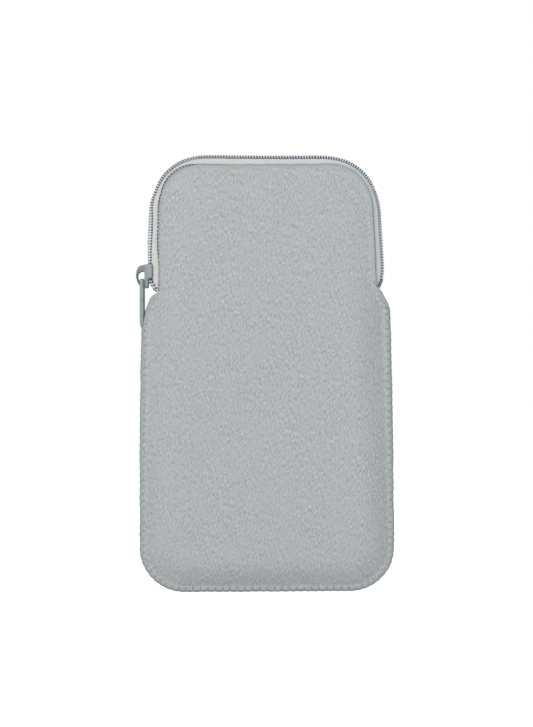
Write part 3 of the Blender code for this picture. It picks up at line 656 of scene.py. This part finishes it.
def flat_point(x, z, way, zipped):
    """The point on the edge of the panel's flat middle that belongs to an outline's point."""
    low_x = BODY_WIDTH / 2 - FLAT_INSET - FLAT_CORNER_R
    low_z = FLAT_INSET + FLAT_CORNER_R
    high_x = ZIP_TOP_WIDTH / 2 - PANEL_INSET - FLAT_INSET - FLAT_CORNER_R
    high_z = ZIP_TOP_Z - PANEL_INSET - FLAT_INSET - FLAT_CORNER_R
    bottom_half = BODY_WIDTH / 2 - BODY_CORNER_R
    if z <= BODY_CORNER_R and not zipped:
        if x <= bottom_half:
            return low_x * x / bottom_half, FLAT_INSET
        return low_x + FLAT_CORNER_R * way[0], low_z + FLAT_CORNER_R * way[1]
    if z < TANGENT_Z or not zipped:
        share = (z - BODY_CORNER_R) / (TANGENT_Z - BODY_CORNER_R)
        lean_x, lean_z = math.cos(ZIP_LEAN), math.sin(ZIP_LEAN)
        return (
            mixed(low_x + FLAT_CORNER_R, high_x + FLAT_CORNER_R * lean_x, share),
            mixed(low_z, high_z + FLAT_CORNER_R * lean_z, share),
        )
    if way[0] > 0.0001:
        return high_x + FLAT_CORNER_R * way[0], high_z + FLAT_CORNER_R * way[1]
    return high_x * x / ZIP_CENTRE_X, high_z + FLAT_CORNER_R


def half_outline(side):
    """Half of a panel's outline, up from the bottom middle, as dictionaries."""
    points = [(*point, 0.0) for point in body_side(side)]
    points += [(*point, 1.0) for point in zip_side(side)]
    done = []
    run = 0.0
    for index, (x, z, way, zipped) in enumerate(points):
        run += math.dist((x, z), points[max(index - 1, 0)][:2])
        inner = flat_point(x, z, way, zipped)
        place = {"x": side * x, "z": z, "way": (side * way[0], way[1]), "side": side}
        done.append({**place, "run": run, "zip": zipped, "inner": (side * inner[0], inner[1])})
    return done


RIGHT_HALF, LEFT_HALF = half_outline(1), half_outline(-1)
LOOP = RIGHT_HALF + LEFT_HALF[-2:0:-1]
HALVES = {1: RIGHT_HALF, -1: RIGHT_HALF[:1] + LEFT_HALF[1:-1]}
RUNS = {side: [p["run"] for p in HALVES[side]] for side in (1, -1)}
SEAM_RUNS = {side: max(p["run"] for p in HALVES[side] if not p["zip"]) for side in (1, -1)}


def rim(point):
    """How far the panel's edge is drawn in there: scallops along the seam, waves at the zip."""
    run, side = point["run"], point["side"]
    signed = side * run
    if point["zip"]:
        tucks = 0.00007 * math.cos(2 * math.pi * run / SEAM_PITCH)
        fine = 0.00022 * wave(signed, 0.0, 0.0055, 5.1)
        return 0.0001 + tucks + fine + 0.00045 * wave(signed, 0.0, 0.021, 9.4)
    phase = run / STITCH_PITCH % 1.0
    depth = 0.00035 if side > 0 or point["z"] < 0.02 else 0.0002
    fade = smooth((SEAM_RUNS[side] - run) / 0.010)
    scallop = depth * fade * abs(2 * phase - 1) ** 2.2
    return 0.0001 + scallop + 0.0002 * fade * wave(signed, 0.0, 0.009, 8.3)


def relief(x, z, facing, edge):
    """Soft lumps of the padded panel, out from its even form; edge is the share from its rim."""
    seed = 11.0 if facing < 0 else 47.0
    away = smooth(edge * 1.4)
    big = 0.0011 * wave(x, z, 0.060, seed) + 0.00042 * wave(x, z, 0.024, seed + 3) - 0.0003
    small = 0.00009 * wave(x, z, 0.008, seed + 6)
    return away * big + min(1.0, edge * 4) * small


def panel_depth(point, share):
    """The panel's half depth at that share of the way from its outline to its flat middle."""
    rise = math.sin(math.pi / 2 * max(share - LIP_SHARE, 0.0) / (1 - LIP_SHARE))
    return mixed(edge_half_depth(point["z"]), FACE_DEPTH, rise)


def pucker(point, share):
    """Small radial tucks that the stitches pull into the cloth beside them."""
    if point["zip"]:
        return 0.00010 * math.cos(math.pi * point["run"] / SEAM_PITCH) * math.exp(-share * 14)
    phase = 2 * math.pi * point["run"] / STITCH_PITCH
    return -0.00004 * math.cos(phase) * math.exp(-((share * 17 - 2.6) ** 2) / 6)


# Shares of the way from a panel's edge to its flat middle, and from there to its spine
SHARES = (
    *(0.0, 0.03, 0.065, 0.1, 0.14, 0.18, 0.22, 0.27),
    *(0.33, 0.4, 0.48, 0.57, 0.67, 0.78, 0.89, 1.0),
)
CORE_SHARES = (0.16, 0.34, 0.55, 0.77, 1.0)
HEM_STEPS = 6
SPINE_INSET = 0.03
SPINE_STEPS = 48


def drawn_in(point, inset):
    """The outline's point moved in by inset."""
    return point["x"] - point["way"][0] * inset, point["z"] - point["way"][1] * inset


def hem_ring(step):
    """A ring of the panel's turned edge: round the seam below the notch, a hem at the zip."""
    ring = []
    seam = math.pi / 2 * step / HEM_STEPS
    fold = math.radians(mixed(-140, 90, step / HEM_STEPS))
    for point in LOOP:
        edge = edge_half_depth(point["z"])
        top = 1.0 if point["zip"] else seam_opens(point["z"])
        inset = mixed(0.0019 * (1 - math.cos(seam)), HEM_R * (1 - math.cos(fold)), top) + rim(point)
        sewn = mixed(SEAM_GAP, edge, math.sin(seam))
        depth = mixed(sewn, edge - HEM_R + HEM_R * math.sin(fold), top)
        ring.append((*drawn_in(point, inset), depth, inset))
    return ring


def layer_rows(facing, under, start, hem):
    """Rings of a panel layer, edge to flat middle: (x, z, depth, inset) each."""
    grid = [hem_ring(step) for step in range(HEM_STEPS + 1)] if hem else []
    for share in SHARES:
        ring = []
        for point in LOOP:
            inner_x, inner_z = point["inner"]
            begin = start + (rim(point) if hem else 0.0)
            start_x, start_z = drawn_in(point, begin)
            reach = math.hypot(inner_x - point["x"], inner_z - point["z"])
            real = mixed(min(1.0, start / reach), 1.0, share)
            x, z = mixed(start_x, inner_x, share), mixed(start_z, inner_z, share)
            lip = mixed(0.75, 1.0, smooth((real - LIP_SHARE) / LIP_SHARE))
            depth = panel_depth(point, real) - under * lip
            depth += relief(x, z, facing, real) + pucker(point, real) * (1 if hem else 0.3)
            ring.append((x, z, depth, mixed(begin, reach, share)))
        grid.append(ring)
    return grid


def panel_layer(name, facing, under, thick, start, look, slot):
    """A whole panel layer: its outer skin from the rings, its inner one by thickness."""
    grid = layer_rows(facing, under, start, slot == "knit")
    count = len(LOOP)
    points, uvs, edges, faces = [], [], [], []

    def add_point(j, x, z, depth, inset):
        points.append(Vector((x + SHIFT, facing * depth, z)))
        uvs.append((x, z))
        edges.append((LOOP[j]["side"] * LOOP[j]["run"], inset + LOOP[j]["zip"]))

    for ring in grid:
        for j, row in enumerate(ring):
            add_point(j, *row)
    for i in range(len(grid) - 1):
        for j in range(count):
            k = (j + 1) % count
            faces.append((i * count + j, i * count + k, (i + 1) * count + k, (i + 1) * count + j))
    last = [(len(grid) - 1) * count + j for j in range(count)]
    low = FLAT_INSET + SPINE_INSET
    high = ZIP_TOP_Z - PANEL_INSET - FLAT_INSET - SPINE_INSET
    for share in CORE_SHARES:
        ring = []
        seen = {}
        for j in range(count):
            x, z, _, inset = grid[-1][j]
            spine_z = min(max(z, low), high)
            here_x, here_z = mixed(x, 0.0, share), mixed(z, spine_z, share)
            if share == 1.0:
                step = round((here_z - low) / (high - low) * SPINE_STEPS)
                here_z = low + (high - low) * step / SPINE_STEPS
                key = round(here_z, 6)
                if key in seen:
                    ring.append(seen[key])
                    continue
                seen[key] = len(points)
            depth = FACE_DEPTH - under + relief(here_x, here_z, facing, 1.0)
            ring.append(len(points))
            add_point(j, here_x, here_z, depth, inset)
        for j in range(count):
            k = (j + 1) % count
            corners = tuple(dict.fromkeys((last[j], last[k], ring[k], ring[j])))
            if len(corners) > 2:
                faces.append(corners)
        last = ring
    if facing > 0:
        faces = [face[::-1] for face in faces]
    made = piece(name, points, faces, uvs, look, slot, edges)
    modified(made, "SOLIDIFY", thickness=thick, offset=-1.0, use_even_offset=False)
    return applied(made)


def outline_area():
    """The flat area of a panel, by its outline."""
    total = 0.0
    for a, b in zip(LOOP, LOOP[1:] + LOOP[:1]):
        total += a["x"] * b["z"] - b["x"] * a["z"]
    return abs(total) / 2


PANEL_AREA = outline_area() * 1.04


def bent(made, *replaced):
    """A front piece that crosses the flap's fold."""
    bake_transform(made)
    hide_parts(*replaced)
    return made


def riding(made, body, *replaced):
    """A piece that moves with one body."""
    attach(made, body)
    if replaced:
        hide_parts(*replaced)
    return made


# Each panel's layers: slot, node, depth below the surface, thickness, how far in its edge lies
LAYERS = (
    ("knit", "face_fabric", 0.0, KNIT_THICK, 0.0021),
    ("foam", "foam", 0.0009, FOAM_THICK, 0.0030),
    ("lining", "lining", 0.0029, THIN_CLOTH, 0.0012),
)


def panels():
    """Both panels, three layers each."""
    for slot, node, under, thick, start in LAYERS:
        for side, facing, knit in (("front", -1, knit_front), ("back", 1, knit_back)):
            look = {"knit": knit, "foam": foam, "lining": lining}[slot]
            made = panel_layer(f"{side}_panel_{slot}", facing, under, thick, start, look, slot)
            if facing < 0:
                bent(made, "front_" + node, "flap_" + node)
            else:
                riding(made, "pouch", "back_" + node)


def loop_at(run):
    """The outline's x, z and way out at that run from the bottom middle: left if below 0."""
    side = 1 if run >= 0 else -1
    half = HALVES[side]
    index = int(min(max(np.searchsorted(RUNS[side], abs(run)), 1), len(half) - 1))
    a, b = half[index - 1], half[index]
    share = (abs(run) - a["run"]) / max(b["run"] - a["run"], 1e-9)
    way = Vector([mixed(a["way"][i], b["way"][i], share) for i in (0, 1)])
    return mixed(a["x"], b["x"], share), mixed(a["z"], b["z"], share), way.normalized()


def edge_place(run, inset, y, up=0.0):
    """A point in from the outline at that run."""
    x, z, way = loop_at(run)
    return Vector((SHIFT + x - way.x * inset, y, z + up - way.y * inset))


def notch_gusset(name, side):
    """The cloth turned in between the two panels, from the sewn edge up to the zip's end."""
    rows, columns, tall, wide = 24, 12, 0.0150, 0.0105
    points, uvs, edges = [], [], []
    for i in range(rows + 3):
        run = SEAM_RUNS[side] - 0.0002 - tall * (1 - min(i / rows, 1.0))
        z = loop_at(side * run)[1]
        up = 0.0007 * max(i - rows, 0)
        top = seam_opens(z)
        half = mixed(SEAM_GAP, edge_half_depth(z) - 0.0014, top) + 0.0003
        for j in range(columns + 1):
            across = 2 * j / columns - 1
            inset = 0.0015 * top + 0.0004 + 0.0013 * top * (1 - across * across)
            points.append(edge_place(side * run, inset, half * across, up))
            uvs.append((run + up, half * across))
            edges.append((side * run, PLAIN_INSET))
    faces = [face[::side] for face in grid_faces(rows + 3, columns + 1)]
    made = piece(name, points, faces, uvs, knit_front, "knit", edges)
    modified(made, "SOLIDIFY", thickness=THIN_CLOTH, offset=-1.0)
    applied(made)
    riding(made, "pouch")


# ---------------- the overlocked edge


def overlock():
    """Real stitches: three strands over the edge at each needle hole, and loopers between them."""
    wraps, loopers = [], []
    for side, first, unsewn in ((-1, 1, 0.0190), (1, 0, 0.0035)):
        count = int((SEAM_RUNS[side] - unsewn) / STITCH_PITCH)
        for index in range(first, count + 1):
            run = side * index * STITCH_PITCH
            edge = edge_half_depth(loop_at(run)[1])
            for lean in (-STRAND_LEAN, 0.0, STRAND_LEAN):
                path = []
                for share in shares(14):
                    turn = math.pi * share
                    inset = mixed(0.0029, 0.00042, math.sin(turn) ** 0.75)
                    y = -math.cos(turn) * (edge + 0.00010)
                    path.append(edge_place(run + lean * (1 + 1.6 * math.sin(turn)), inset, y))
                wraps.append(path)
            before = run - side * STITCH_PITCH
            for facing in (-1, 1) if index else ():
                looper = []
                for share in shares(12):
                    over = math.sin(math.pi * share)
                    inset = NEEDLE_INSET - 0.0021 * over ** 0.8
                    height = edge - 0.0004 * (1 - inset / NEEDLE_INSET) + 0.00012 * over
                    looper.append(edge_place(mixed(before, run, share), inset, facing * height))
                loopers.append(looper)
    made = threads("edge_overlock_stitches", wraps, 0.00013, overlock_thread, "thread")
    riding(made, "pouch", "edge_overlock_thread")
    looped = threads("edge_overlock_loopers", loopers, 0.00010, overlock_thread, "thread")
    riding(looped, "pouch")


# ---------------- the zip


def coil_width(s):
    """How wide the coil lies seen from the front: it turns to the eye on the left leg."""
    leg = 0.00085 * smooth((0.052 - s) / 0.014) * (1 - 0.6 * smooth((0.032 - s) / 0.014))
    return COIL_THICK + leg + 0.00050 * smooth((0.009 - s) / 0.006)


def coil_point(s, out, y):
    """A point of the zip where the coil's ends turn in."""
    return zip_point(s, out - end_bend(s), y)


def flattened(value, power):
    """A wave's value with its swings made fuller."""
    return math.copysign(abs(value) ** power, value)


def coil_row(name, facing):
    """One row's filament as a flattened helix from end to end of the zip."""
    phase = 0.0 if facing < 0 else 0.5
    steps = 16
    y_root, y_head = COIL_OUTER_Y - COIL_WIRE_R, -COIL_MESH_DEPTH + COIL_WIRE_R
    path = []
    for index in range((int(ZIP_LENGTH / COIL_PITCH) - 1) * steps + 1):
        turn = index / steps
        angle = 2 * math.pi * turn
        ahead = 0.25 + phase - 0.85 * math.sin(2 * angle) / (4 * math.pi)
        s = (turn + ahead) * COIL_PITCH
        flat = flattened(math.cos(angle), 0.55)
        rise = flattened(math.sin(angle), 0.8)
        y = mixed(y_root, y_head, (flat + 1) / 2)
        out = mixed(COIL_WIRE_R - coil_width(s), -COIL_WIRE_R - 0.00002, (rise + 1) / 2)
        path.append(coil_point(s, out, facing * (y + spread(s))))
    points, faces, uvs = tube_parts(path, COIL_WIRE_R)
    return piece(name, points, faces, uvs, coil_nylon, "coil")


def core_span(s):
    """The middle and half the height of the coil's cord: low on the left, high in the corners."""
    own = min(s, ZIP_LENGTH - s)
    middle, half = -0.00095, 0.00080
    if s < ZIP_LENGTH / 2:
        middle, half = 0.00062 - coil_width(s), 0.00046
    corner = smooth(1.6 * (1 - abs(own - LEG_LENGTH - ARC_LENGTH / 2) / 0.030))
    top = smooth((own - LEG_LENGTH - ARC_LENGTH * 0.8) / 0.012)
    middle, half = mixed(middle, -0.00070, corner), mixed(half, 0.00050, corner)
    return mixed(middle, -0.00095, top), mixed(half, 0.00082, top)


def strip(name, begin, end, steps, section, look, slot):
    """A sheet along the zip; section gives the (out, y, uv across) of its points at s."""
    points, uvs = [], []
    for s in (mixed(begin, end, share) for share in shares(steps)):
        for out, y, across in section(s):
            points.append(zip_point(s, out, y))
            uvs.append((s, across))
    faces = grid_faces(steps + 1, len(points) // (steps + 1))
    return piece(name, points, faces, uvs, look, slot)


def coil_core(name, facing):
    """The cord in a coil row's loops: it bulges between them and is pinched where they cross it."""
    # Where it bulges between the loops, its dark colour shows as painted shade
    phase = 0.25 if facing < 0 else 0.75
    sides = 8

    def section(s):
        middle, half = core_span(s)
        half *= 0.56 + 0.50 * math.cos(2 * math.pi * (s / COIL_PITCH - phase))
        for k in range(sides + 1):
            angle = 2 * math.pi * k / sides
            out = middle + half * math.cos(angle) - end_bend(s)
            y = COIL_OUTER_Y - 0.00088 + 0.00022 * math.sin(angle) + spread(s)
            yield out, facing * y, k / sides

    return strip(name, 0.0004, ZIP_LENGTH - 0.0024, 1400, section, core_cord, "coil")


def coil_sewing(name, facing):
    """The thread that sews a coil row down: a chain of stitches over its legs near the root."""
    paths = []
    pitch = COIL_PITCH * 2
    for index in range(int((ZIP_LENGTH - 0.004) / pitch)):
        path = []
        for share in shares(8):
            s = 0.002 + index * pitch + pitch * share
            y = COIL_OUTER_Y - 0.00085 + 0.00012 * math.sin(2 * math.pi * share) + spread(s)
            out = -0.00012 - 0.00022 * (2 * share - 1) ** 4
            path.append(coil_point(s, out, facing * y))
        paths.append(path)
    return threads(name, paths, 0.00009, coil_thread, "coil")


def tape_profile(s, inset):
    """The tape's section at s, as (out, y): from its margin under the panel to under the coil."""
    apart = spread(s)
    wide = coil_width(s)
    edge = edge_half_depth(zip_point(s, -inset, 0.0, False).z)
    margin_y = edge - 0.75 * PANEL_THICK - TAPE_GAP
    turn_y = COIL_OUTER_Y + 0.00015 + apart * 0.4
    close = smooth((edge - 0.0045) / 0.0012)
    risen_y = mixed(mixed(margin_y, turn_y, 0.5), edge - 0.0019, 0.5 * close)
    return (
        (-PANEL_INSET - TAPE_HIDDEN, margin_y),
        (-inset - 0.003, margin_y),
        (-inset - 0.0014, mixed(margin_y, edge - 0.0029, close)),
        (-inset - 0.0002, mixed(mixed(margin_y, turn_y, 0.1), edge - 0.0018, close)),
        (mixed(-inset, -wide - 0.001, 0.5), risen_y + 0.00015),
        (-wide - 0.00100, turn_y + 0.0001),
        (-wide - 0.00060, turn_y),
        (-wide - 0.00035, turn_y - 0.0002),
        (-wide - 0.0003, turn_y - 0.0007),
        (-wide - 0.00038, (turn_y + TAPE_EDGE_Y + apart) / 2),
        (-wide - 0.00045, TAPE_EDGE_Y + apart),
    )


def tape_strip(name, facing):
    """The zip tape, along the whole zip."""

    def section(s):
        inset = inset_at(s)
        wander = 0.00008 * wave(s, 0.0, 0.004, 2.2)
        across = 0.0
        last = None
        for point in tape_profile(s, inset):
            across += math.dist(point, last or point)
            out, y = last = point
            pull_in = end_bend(s) * smooth((out + inset) / (inset - coil_width(s) - 0.0004))
            yield out - pull_in, facing * (y + wander), across

    made = strip(name, 0.0, ZIP_LENGTH, 300, section, tape_cloth, "tape")
    modified(made, "SOLIDIFY", thickness=THIN_CLOTH, offset=0.0)
    modified(made, "SUBSURF", levels=1, render_levels=1)
    return applied(made)


def seam_stitches(name, facing):
    """Lockstitches that hold the panel's turned edge to the tape, in the valley between, dark as
    its shadow.
    """
    paths = []
    begin, end = 0.0012, ZIP_LENGTH - 0.0012
    for index in range(int((end - begin) / SEAM_PITCH)):
        s = begin + index * SEAM_PITCH
        inset = inset_at(s)
        edge = edge_half_depth(zip_point(s, -inset, 0.0, False).z)
        tuck = mixed(0.00034, -0.00035, smooth((s - 0.078) / 0.012))
        path = []
        for share in shares(6):
            here = s + SEAM_PITCH * (0.12 + 0.52 * share)
            y = edge - 0.0015 + 0.0004 * math.sin(math.pi * share)
            path.append(zip_point(here, -inset + tuck, facing * y))
        paths.append(path)
    return threads(name, paths, 0.00029, seam_thread, "thread")


def zip_rows():
    """Both sides of the zip, five pieces each."""
    starts = {-1: ("front_zip_left_end_", "flap_zip_", "front_zip_right_end_"), 1: ("back_zip_",)}
    for facing, side in ((-1, "front"), (1, "back")):
        for kind, build, node in (
            ("coil_row", coil_row, "coil"),
            ("coil_core", coil_core, None),
            ("coil_sewing", coil_sewing, None),
            ("tape_strip", tape_strip, "tape"),
            ("seam_stitches", seam_stitches, "seam_thread"),
        ):
            made = build(f"{side}_{kind}", facing)
            replaced = [start + node for start in starts[facing] if node]
            if facing < 0:
                bent(made, *replaced)
            else:
                riding(made, "pouch", *replaced)


def bar_tack(name, node, s, apart, low, turns):
    """Close turns of thread across the coil's end, down its sides to low."""
    paths = []
    half = COIL_OUTER_Y + apart + 0.00022
    for turn in range(turns):
        here = s + (turn - (turns - 1) / 2) * 0.00028
        lift = 0.00008 + 0.00006 * (turn % 2)
        corners = [(low, -half)]
        for angle in (math.pi * share for share in shares(8)):
            out = mixed(lift - 0.0009, lift, math.sin(angle) ** 0.4)
            corners.append((out, -math.cos(angle) * half))
        corners.append((low, half))
        paths.append([coil_point(here, out, y) for out, y in corners])
    made = threads(name, paths, 0.00016, tack_thread, "tack")
    riding(made, "pouch", node)


# ---------------- slider and pull, in millimetres, with x from the pouch's middle


def slab(rows, missing=()):
    """A closed plate of (outer point, inner point, ys) rows, less some cells: points and faces."""
    points, faces = [], []
    width = len(rows[0][2])
    for outer, inner, ys in rows:
        for x, z in (outer, inner):
            points += [Vector((SHIFT + x / 1000, y / 1000, z / 1000)) for y in ys]
    cells = {(i, j) for i in range(len(rows) - 1) for j in range(width - 1)} - set(missing)

    def at(i, j, skin):
        return (2 * i + skin) * width + j

    for i, j in sorted(cells):
        faces.append((at(i, j, 0), at(i, j + 1, 0), at(i + 1, j + 1, 0), at(i + 1, j, 0)))
        faces.append((at(i, j, 1), at(i + 1, j, 1), at(i + 1, j + 1, 1), at(i, j + 1, 1)))
        for beside, a, b in (
            ((i - 1, j), (i, j), (i, j + 1)),
            ((i + 1, j), (i + 1, j + 1), (i + 1, j)),
            ((i, j - 1), (i + 1, j), (i, j)),
            ((i, j + 1), (i, j + 1), (i + 1, j + 1)),
        ):
            if beside not in cells:
                faces.append((at(*a, 0), at(*a, 1), at(*b, 1), at(*b, 0)))
    return points, faces


def metal_piece(name, slabs, look, rounding, body, *replaced):
    """Painted metal made of slabs, with rounded edges."""
    points, faces = [], []
    for new_points, new_faces in slabs:
        faces += [tuple(index + len(points) for index in face) for face in new_faces]
        points += new_points
    made = piece(name, points, faces, [(p.y, p.z) for p in points], look, "slider")
    bm = bmesh.new()
    bm.from_mesh(made.data)
    bmesh.ops.recalc_face_normals(bm, faces=bm.faces)
    bm.to_mesh(made.data)
    bm.free()
    by_angle = {"limit_method": "ANGLE", "angle_limit": math.radians(28)}
    modified(made, "BEVEL", width=rounding, segments=4, **by_angle)
    modified(made, "WEIGHTED_NORMAL", keep_sharp=False)
    return riding(applied(made), body, *replaced)


def plate(rows):
    """A slab from rows of (z, outer x, inner x, near y, far y)."""
    return slab([((outer, z), (inner, z), ys) for z, outer, inner, *ys in rows])


def slider_shell():
    """Outer wing with its lips and flanks, inner wing and the diamond that joins them."""
    wing = (
        (170.4, -67.45, -66.80, -4.3, 4.3),
        (171.0, -67.62, -66.72, -5.0, 5.0),
        (171.8, -67.62, -66.65, -5.6, 5.6),
        (176.4, -67.70, -66.45, -5.6, 5.6),
        (183.0, -67.75, -66.40, -4.6, 4.6),
        (183.8, -67.60, -66.50, -3.9, 3.9),
    )
    lip = (
        (170.5, -67.35, -65.6, 4.0, 4.87),
        (171.6, -67.55, -65.4, 4.8, 5.67),
        (176.6, -67.55, -65.4, 4.8, 5.67),
    )
    flank = (
        (175.8, -67.5, -63.25, 4.75, 5.61),
        (176.5, -67.55, -63.15, 4.80, 5.67),
        (183.0, -67.55, -63.15, 3.80, 4.68),
        (183.9, -67.4, -63.30, 3.70, 4.50),
    )
    inner_wing = (
        (175.4, -63.05, -61.8, -2.0, 2.0),
        (176.2, -63.05, -61.7, -2.4, 2.4),
        (182.9, -63.05, -61.7, -2.4, 2.4),
    )
    diamond = (
        (173.2, -66.9, -62.7, -0.3, 0.3),
        (174.2, -66.9, -62.6, -0.7, 0.7),
        (178.6, -66.9, -62.6, -0.2, 0.2),
    )
    slabs = [plate(wing)]
    for side in (-1, 1):
        for rows in (lip, flank):
            slabs.append(plate([(*row[:3], side * row[3], side * row[4]) for row in rows]))
    slabs += [plate(inner_wing), plate(diamond)]
    metal_piece("slider_shell", slabs, shell_metal, 0.00026, "slider", "slider_body")


def slider_strap():
    """The strap that the pull hangs on: a thick upper root, a thin bow, and a foot on the nose."""
    bow = (
        ((-67.3, 183.45), (-67.3, 179.6)),
        ((-68.9, 183.40), (-68.3, 179.6)),
        ((-70.3, 183.10), (-69.3, 179.55)),
        ((-71.45, 182.1), (-70.4, 179.0)),
        ((-72.2, 180.25), (-71.0, 178.2)),
        ((-72.5, 178.1), (-71.25, 177.3)),
        ((-72.45, 176.2), (-71.2, 176.4)),
        ((-71.9, 174.2), (-70.8, 175.3)),
        ((-71.0, 172.4), (-70.5, 173.85)),
        ((-70.1, 171.45), (-69.8, 172.7)),
        ((-68.8, 170.85), (-68.7, 172.0)),
        ((-67.3, 170.75), (-67.3, 171.9)),
    )
    rows = []
    for index, (outer, inner) in enumerate(bow):
        half = 1.25 + 0.3 * max(0, 3 - index) / 3
        rows.append((outer, inner, (-half, half)))
    metal_piece("slider_strap", [slab(rows)], strap_metal, 0.00042, "slider", "slider_crown")


def at_heights(heights, *knots):
    """Values at the heights, by straight lines between knots of (height, value)."""
    return np.interp(heights, *zip(*knots))


def pull():
    """The pull tab: a plate with an eye and a pin for the strap, thinner towards its tip."""
    heights = (
        *(148.5, 149.2, 150.6, 152.5, 154.5, 157.5, 161.0),
        *(165.0, 168.44, 173.44, 174.6, 175.3, 175.7),
    )
    outer = at_heights(
        heights,
        *((148.5, -69.9), (149.6, -70.35), (154.0, -70.55), (165.0, -70.45)),
        *((174.6, -70.4), (175.3, -70.2), (175.7, -69.7)),
    )
    inner = at_heights(
        heights,
        *((148.5, -69.3), (149.2, -69.05), (154.5, -68.1), (157.5, -67.69)),
        *((165.0, -67.68), (174.6, -67.70), (175.3, -67.9), (175.7, -68.4)),
    )
    halves = at_heights(
        heights,
        *((148.5, 1.7), (149.2, 2.5), (150.6, 2.9), (168.0, 3.75)),
        *((174.6, 3.75), (175.3, 3.3), (175.7, 2.7)),
    )
    rows = []
    for z, a, b, half in zip(heights, outer, inner, halves):
        eye_half = half * 0.535
        rows.append(((a, z), (b, z), (-half, -eye_half, eye_half, half)))
    eye = [(row, 1) for row in range(8, 12)]
    metal_piece("pull_plate", [slab(rows, eye)], pull_metal, 0.00100, "pull", "pull_tab")

    def pin_radius(share):
        return 0.00044 + 0.00022 * abs(2 * share - 1) ** 4

    widths = (-2.6, -2.0, -1.6, -0.8, 0.0, 0.8, 1.6, 2.0, 2.6)
    path = [Vector((SHIFT - 0.06990, y / 1000, 0.17445)) for y in widths]
    points, faces, uvs = tube_parts(path, pin_radius, 12)
    riding(piece("pull_pin", points, faces, uvs, pull_metal, "slider"), "pull")


# ---------------- floor, light and camera


def seen_white(tree, dim, bright):
    """A strength that is bright to the eye and dim as light on the object."""
    ray = tree.nodes.new("ShaderNodeLightPath").outputs["Is Camera Ray"]
    made = tree.nodes.new("ShaderNodeMath")
    made.operation = "MULTIPLY_ADD"
    tree.links.new(ray, made.inputs[0])
    made.inputs[1].default_value = bright - dim
    made.inputs[2].default_value = dim
    return made.outputs[0]


def floor_look():
    """A pale floor that glows to the eye, so that it is as white as the photo's ground."""
    look = Look("studio_white", (0.5, 0.5, 0.5), 1.0)
    look.fill(look.shader, {"Specular IOR Level": 0.0, "Emission Color": (1, 1, 1, 1)})
    glow = seen_white(look.tree, 0.355, 0.92)
    look.tree.links.new(glow, look.shader.inputs["Emission Strength"])
    return look.material


def studio():
    """A pale floor, a white surround, a key light from the upper left, a fill and a back light."""
    corners = ((-1, -1), (1, -1), (1, 1), (-1, 1))
    mesh = bpy.data.meshes.new("studio_floor")
    points = [(FLOOR_REACH * x, FLOOR_REACH * y, FLOOR_Z) for x, y in corners]
    mesh.from_pydata(points, [], [(0, 1, 2, 3)])
    mesh.materials.append(floor_look())
    floor = bpy.data.objects.new("studio_floor", mesh)
    bpy.context.scene.collection.objects.link(floor)
    world = bpy.data.worlds.new("studio_world")
    world.use_nodes = True
    back = world.node_tree.nodes["Background"]
    back.inputs[0].default_value = (1, 1, 1, 1)
    world.node_tree.links.new(seen_white(world.node_tree, 0.28, 1.0), back.inputs[1])
    bpy.context.scene.world = world
    for name, place, size, power in (
        ("key_light", (-0.8, -2.3, 1.5), 0.9, 54.0),
        ("fill_light", (1.5, -1.9, 0.5), 1.2, 7.4),
        ("back_light", (0.9, 2.3, 1.2), 1.2, 38.0),
    ):
        data = bpy.data.lights.new(name, "AREA")
        data.size = size
        data.energy = power
        lamp = bpy.data.objects.new(name, data)
        lamp.location = place
        aim = Vector((0, 0, 0.12)) - Vector(place)
        lamp.rotation_euler = aim.to_track_quat("-Z", "Y").to_euler()
        bpy.context.scene.collection.objects.link(lamp)


def camera():
    """A long lens, square to the front, turned a little as in the photo."""
    data = bpy.data.cameras.new("camera")
    data.sensor_width = SENSOR_MM
    data.lens = SENSOR_MM * CAMERA_DISTANCE / VIEW_HEIGHT
    data.clip_start, data.clip_end = 0.05, 20.0
    made = bpy.data.objects.new("camera", data)
    made.location = (0.0013, -CAMERA_DISTANCE, 0.12796)
    made.rotation_euler = (math.pi / 2, math.radians(0.3), 0)
    bpy.context.scene.collection.objects.link(made)
    bpy.context.scene.camera = made


camera()
panels()
notch_gusset("left_notch_gusset", -1)
notch_gusset("right_notch_gusset", 1)
overlock()
zip_rows()
bar_tack("left_end_tack", "left_bar_tack", 0.0012, spread(0.0), -0.0009, 3)
bar_tack("right_end_tack", "right_bar_tack", ZIP_LENGTH - 0.0039, 0.0, -0.0016, 13)
slider_shell()
slider_strap()
pull()
studio()
bpy.context.scene.view_settings.view_transform = "Standard"
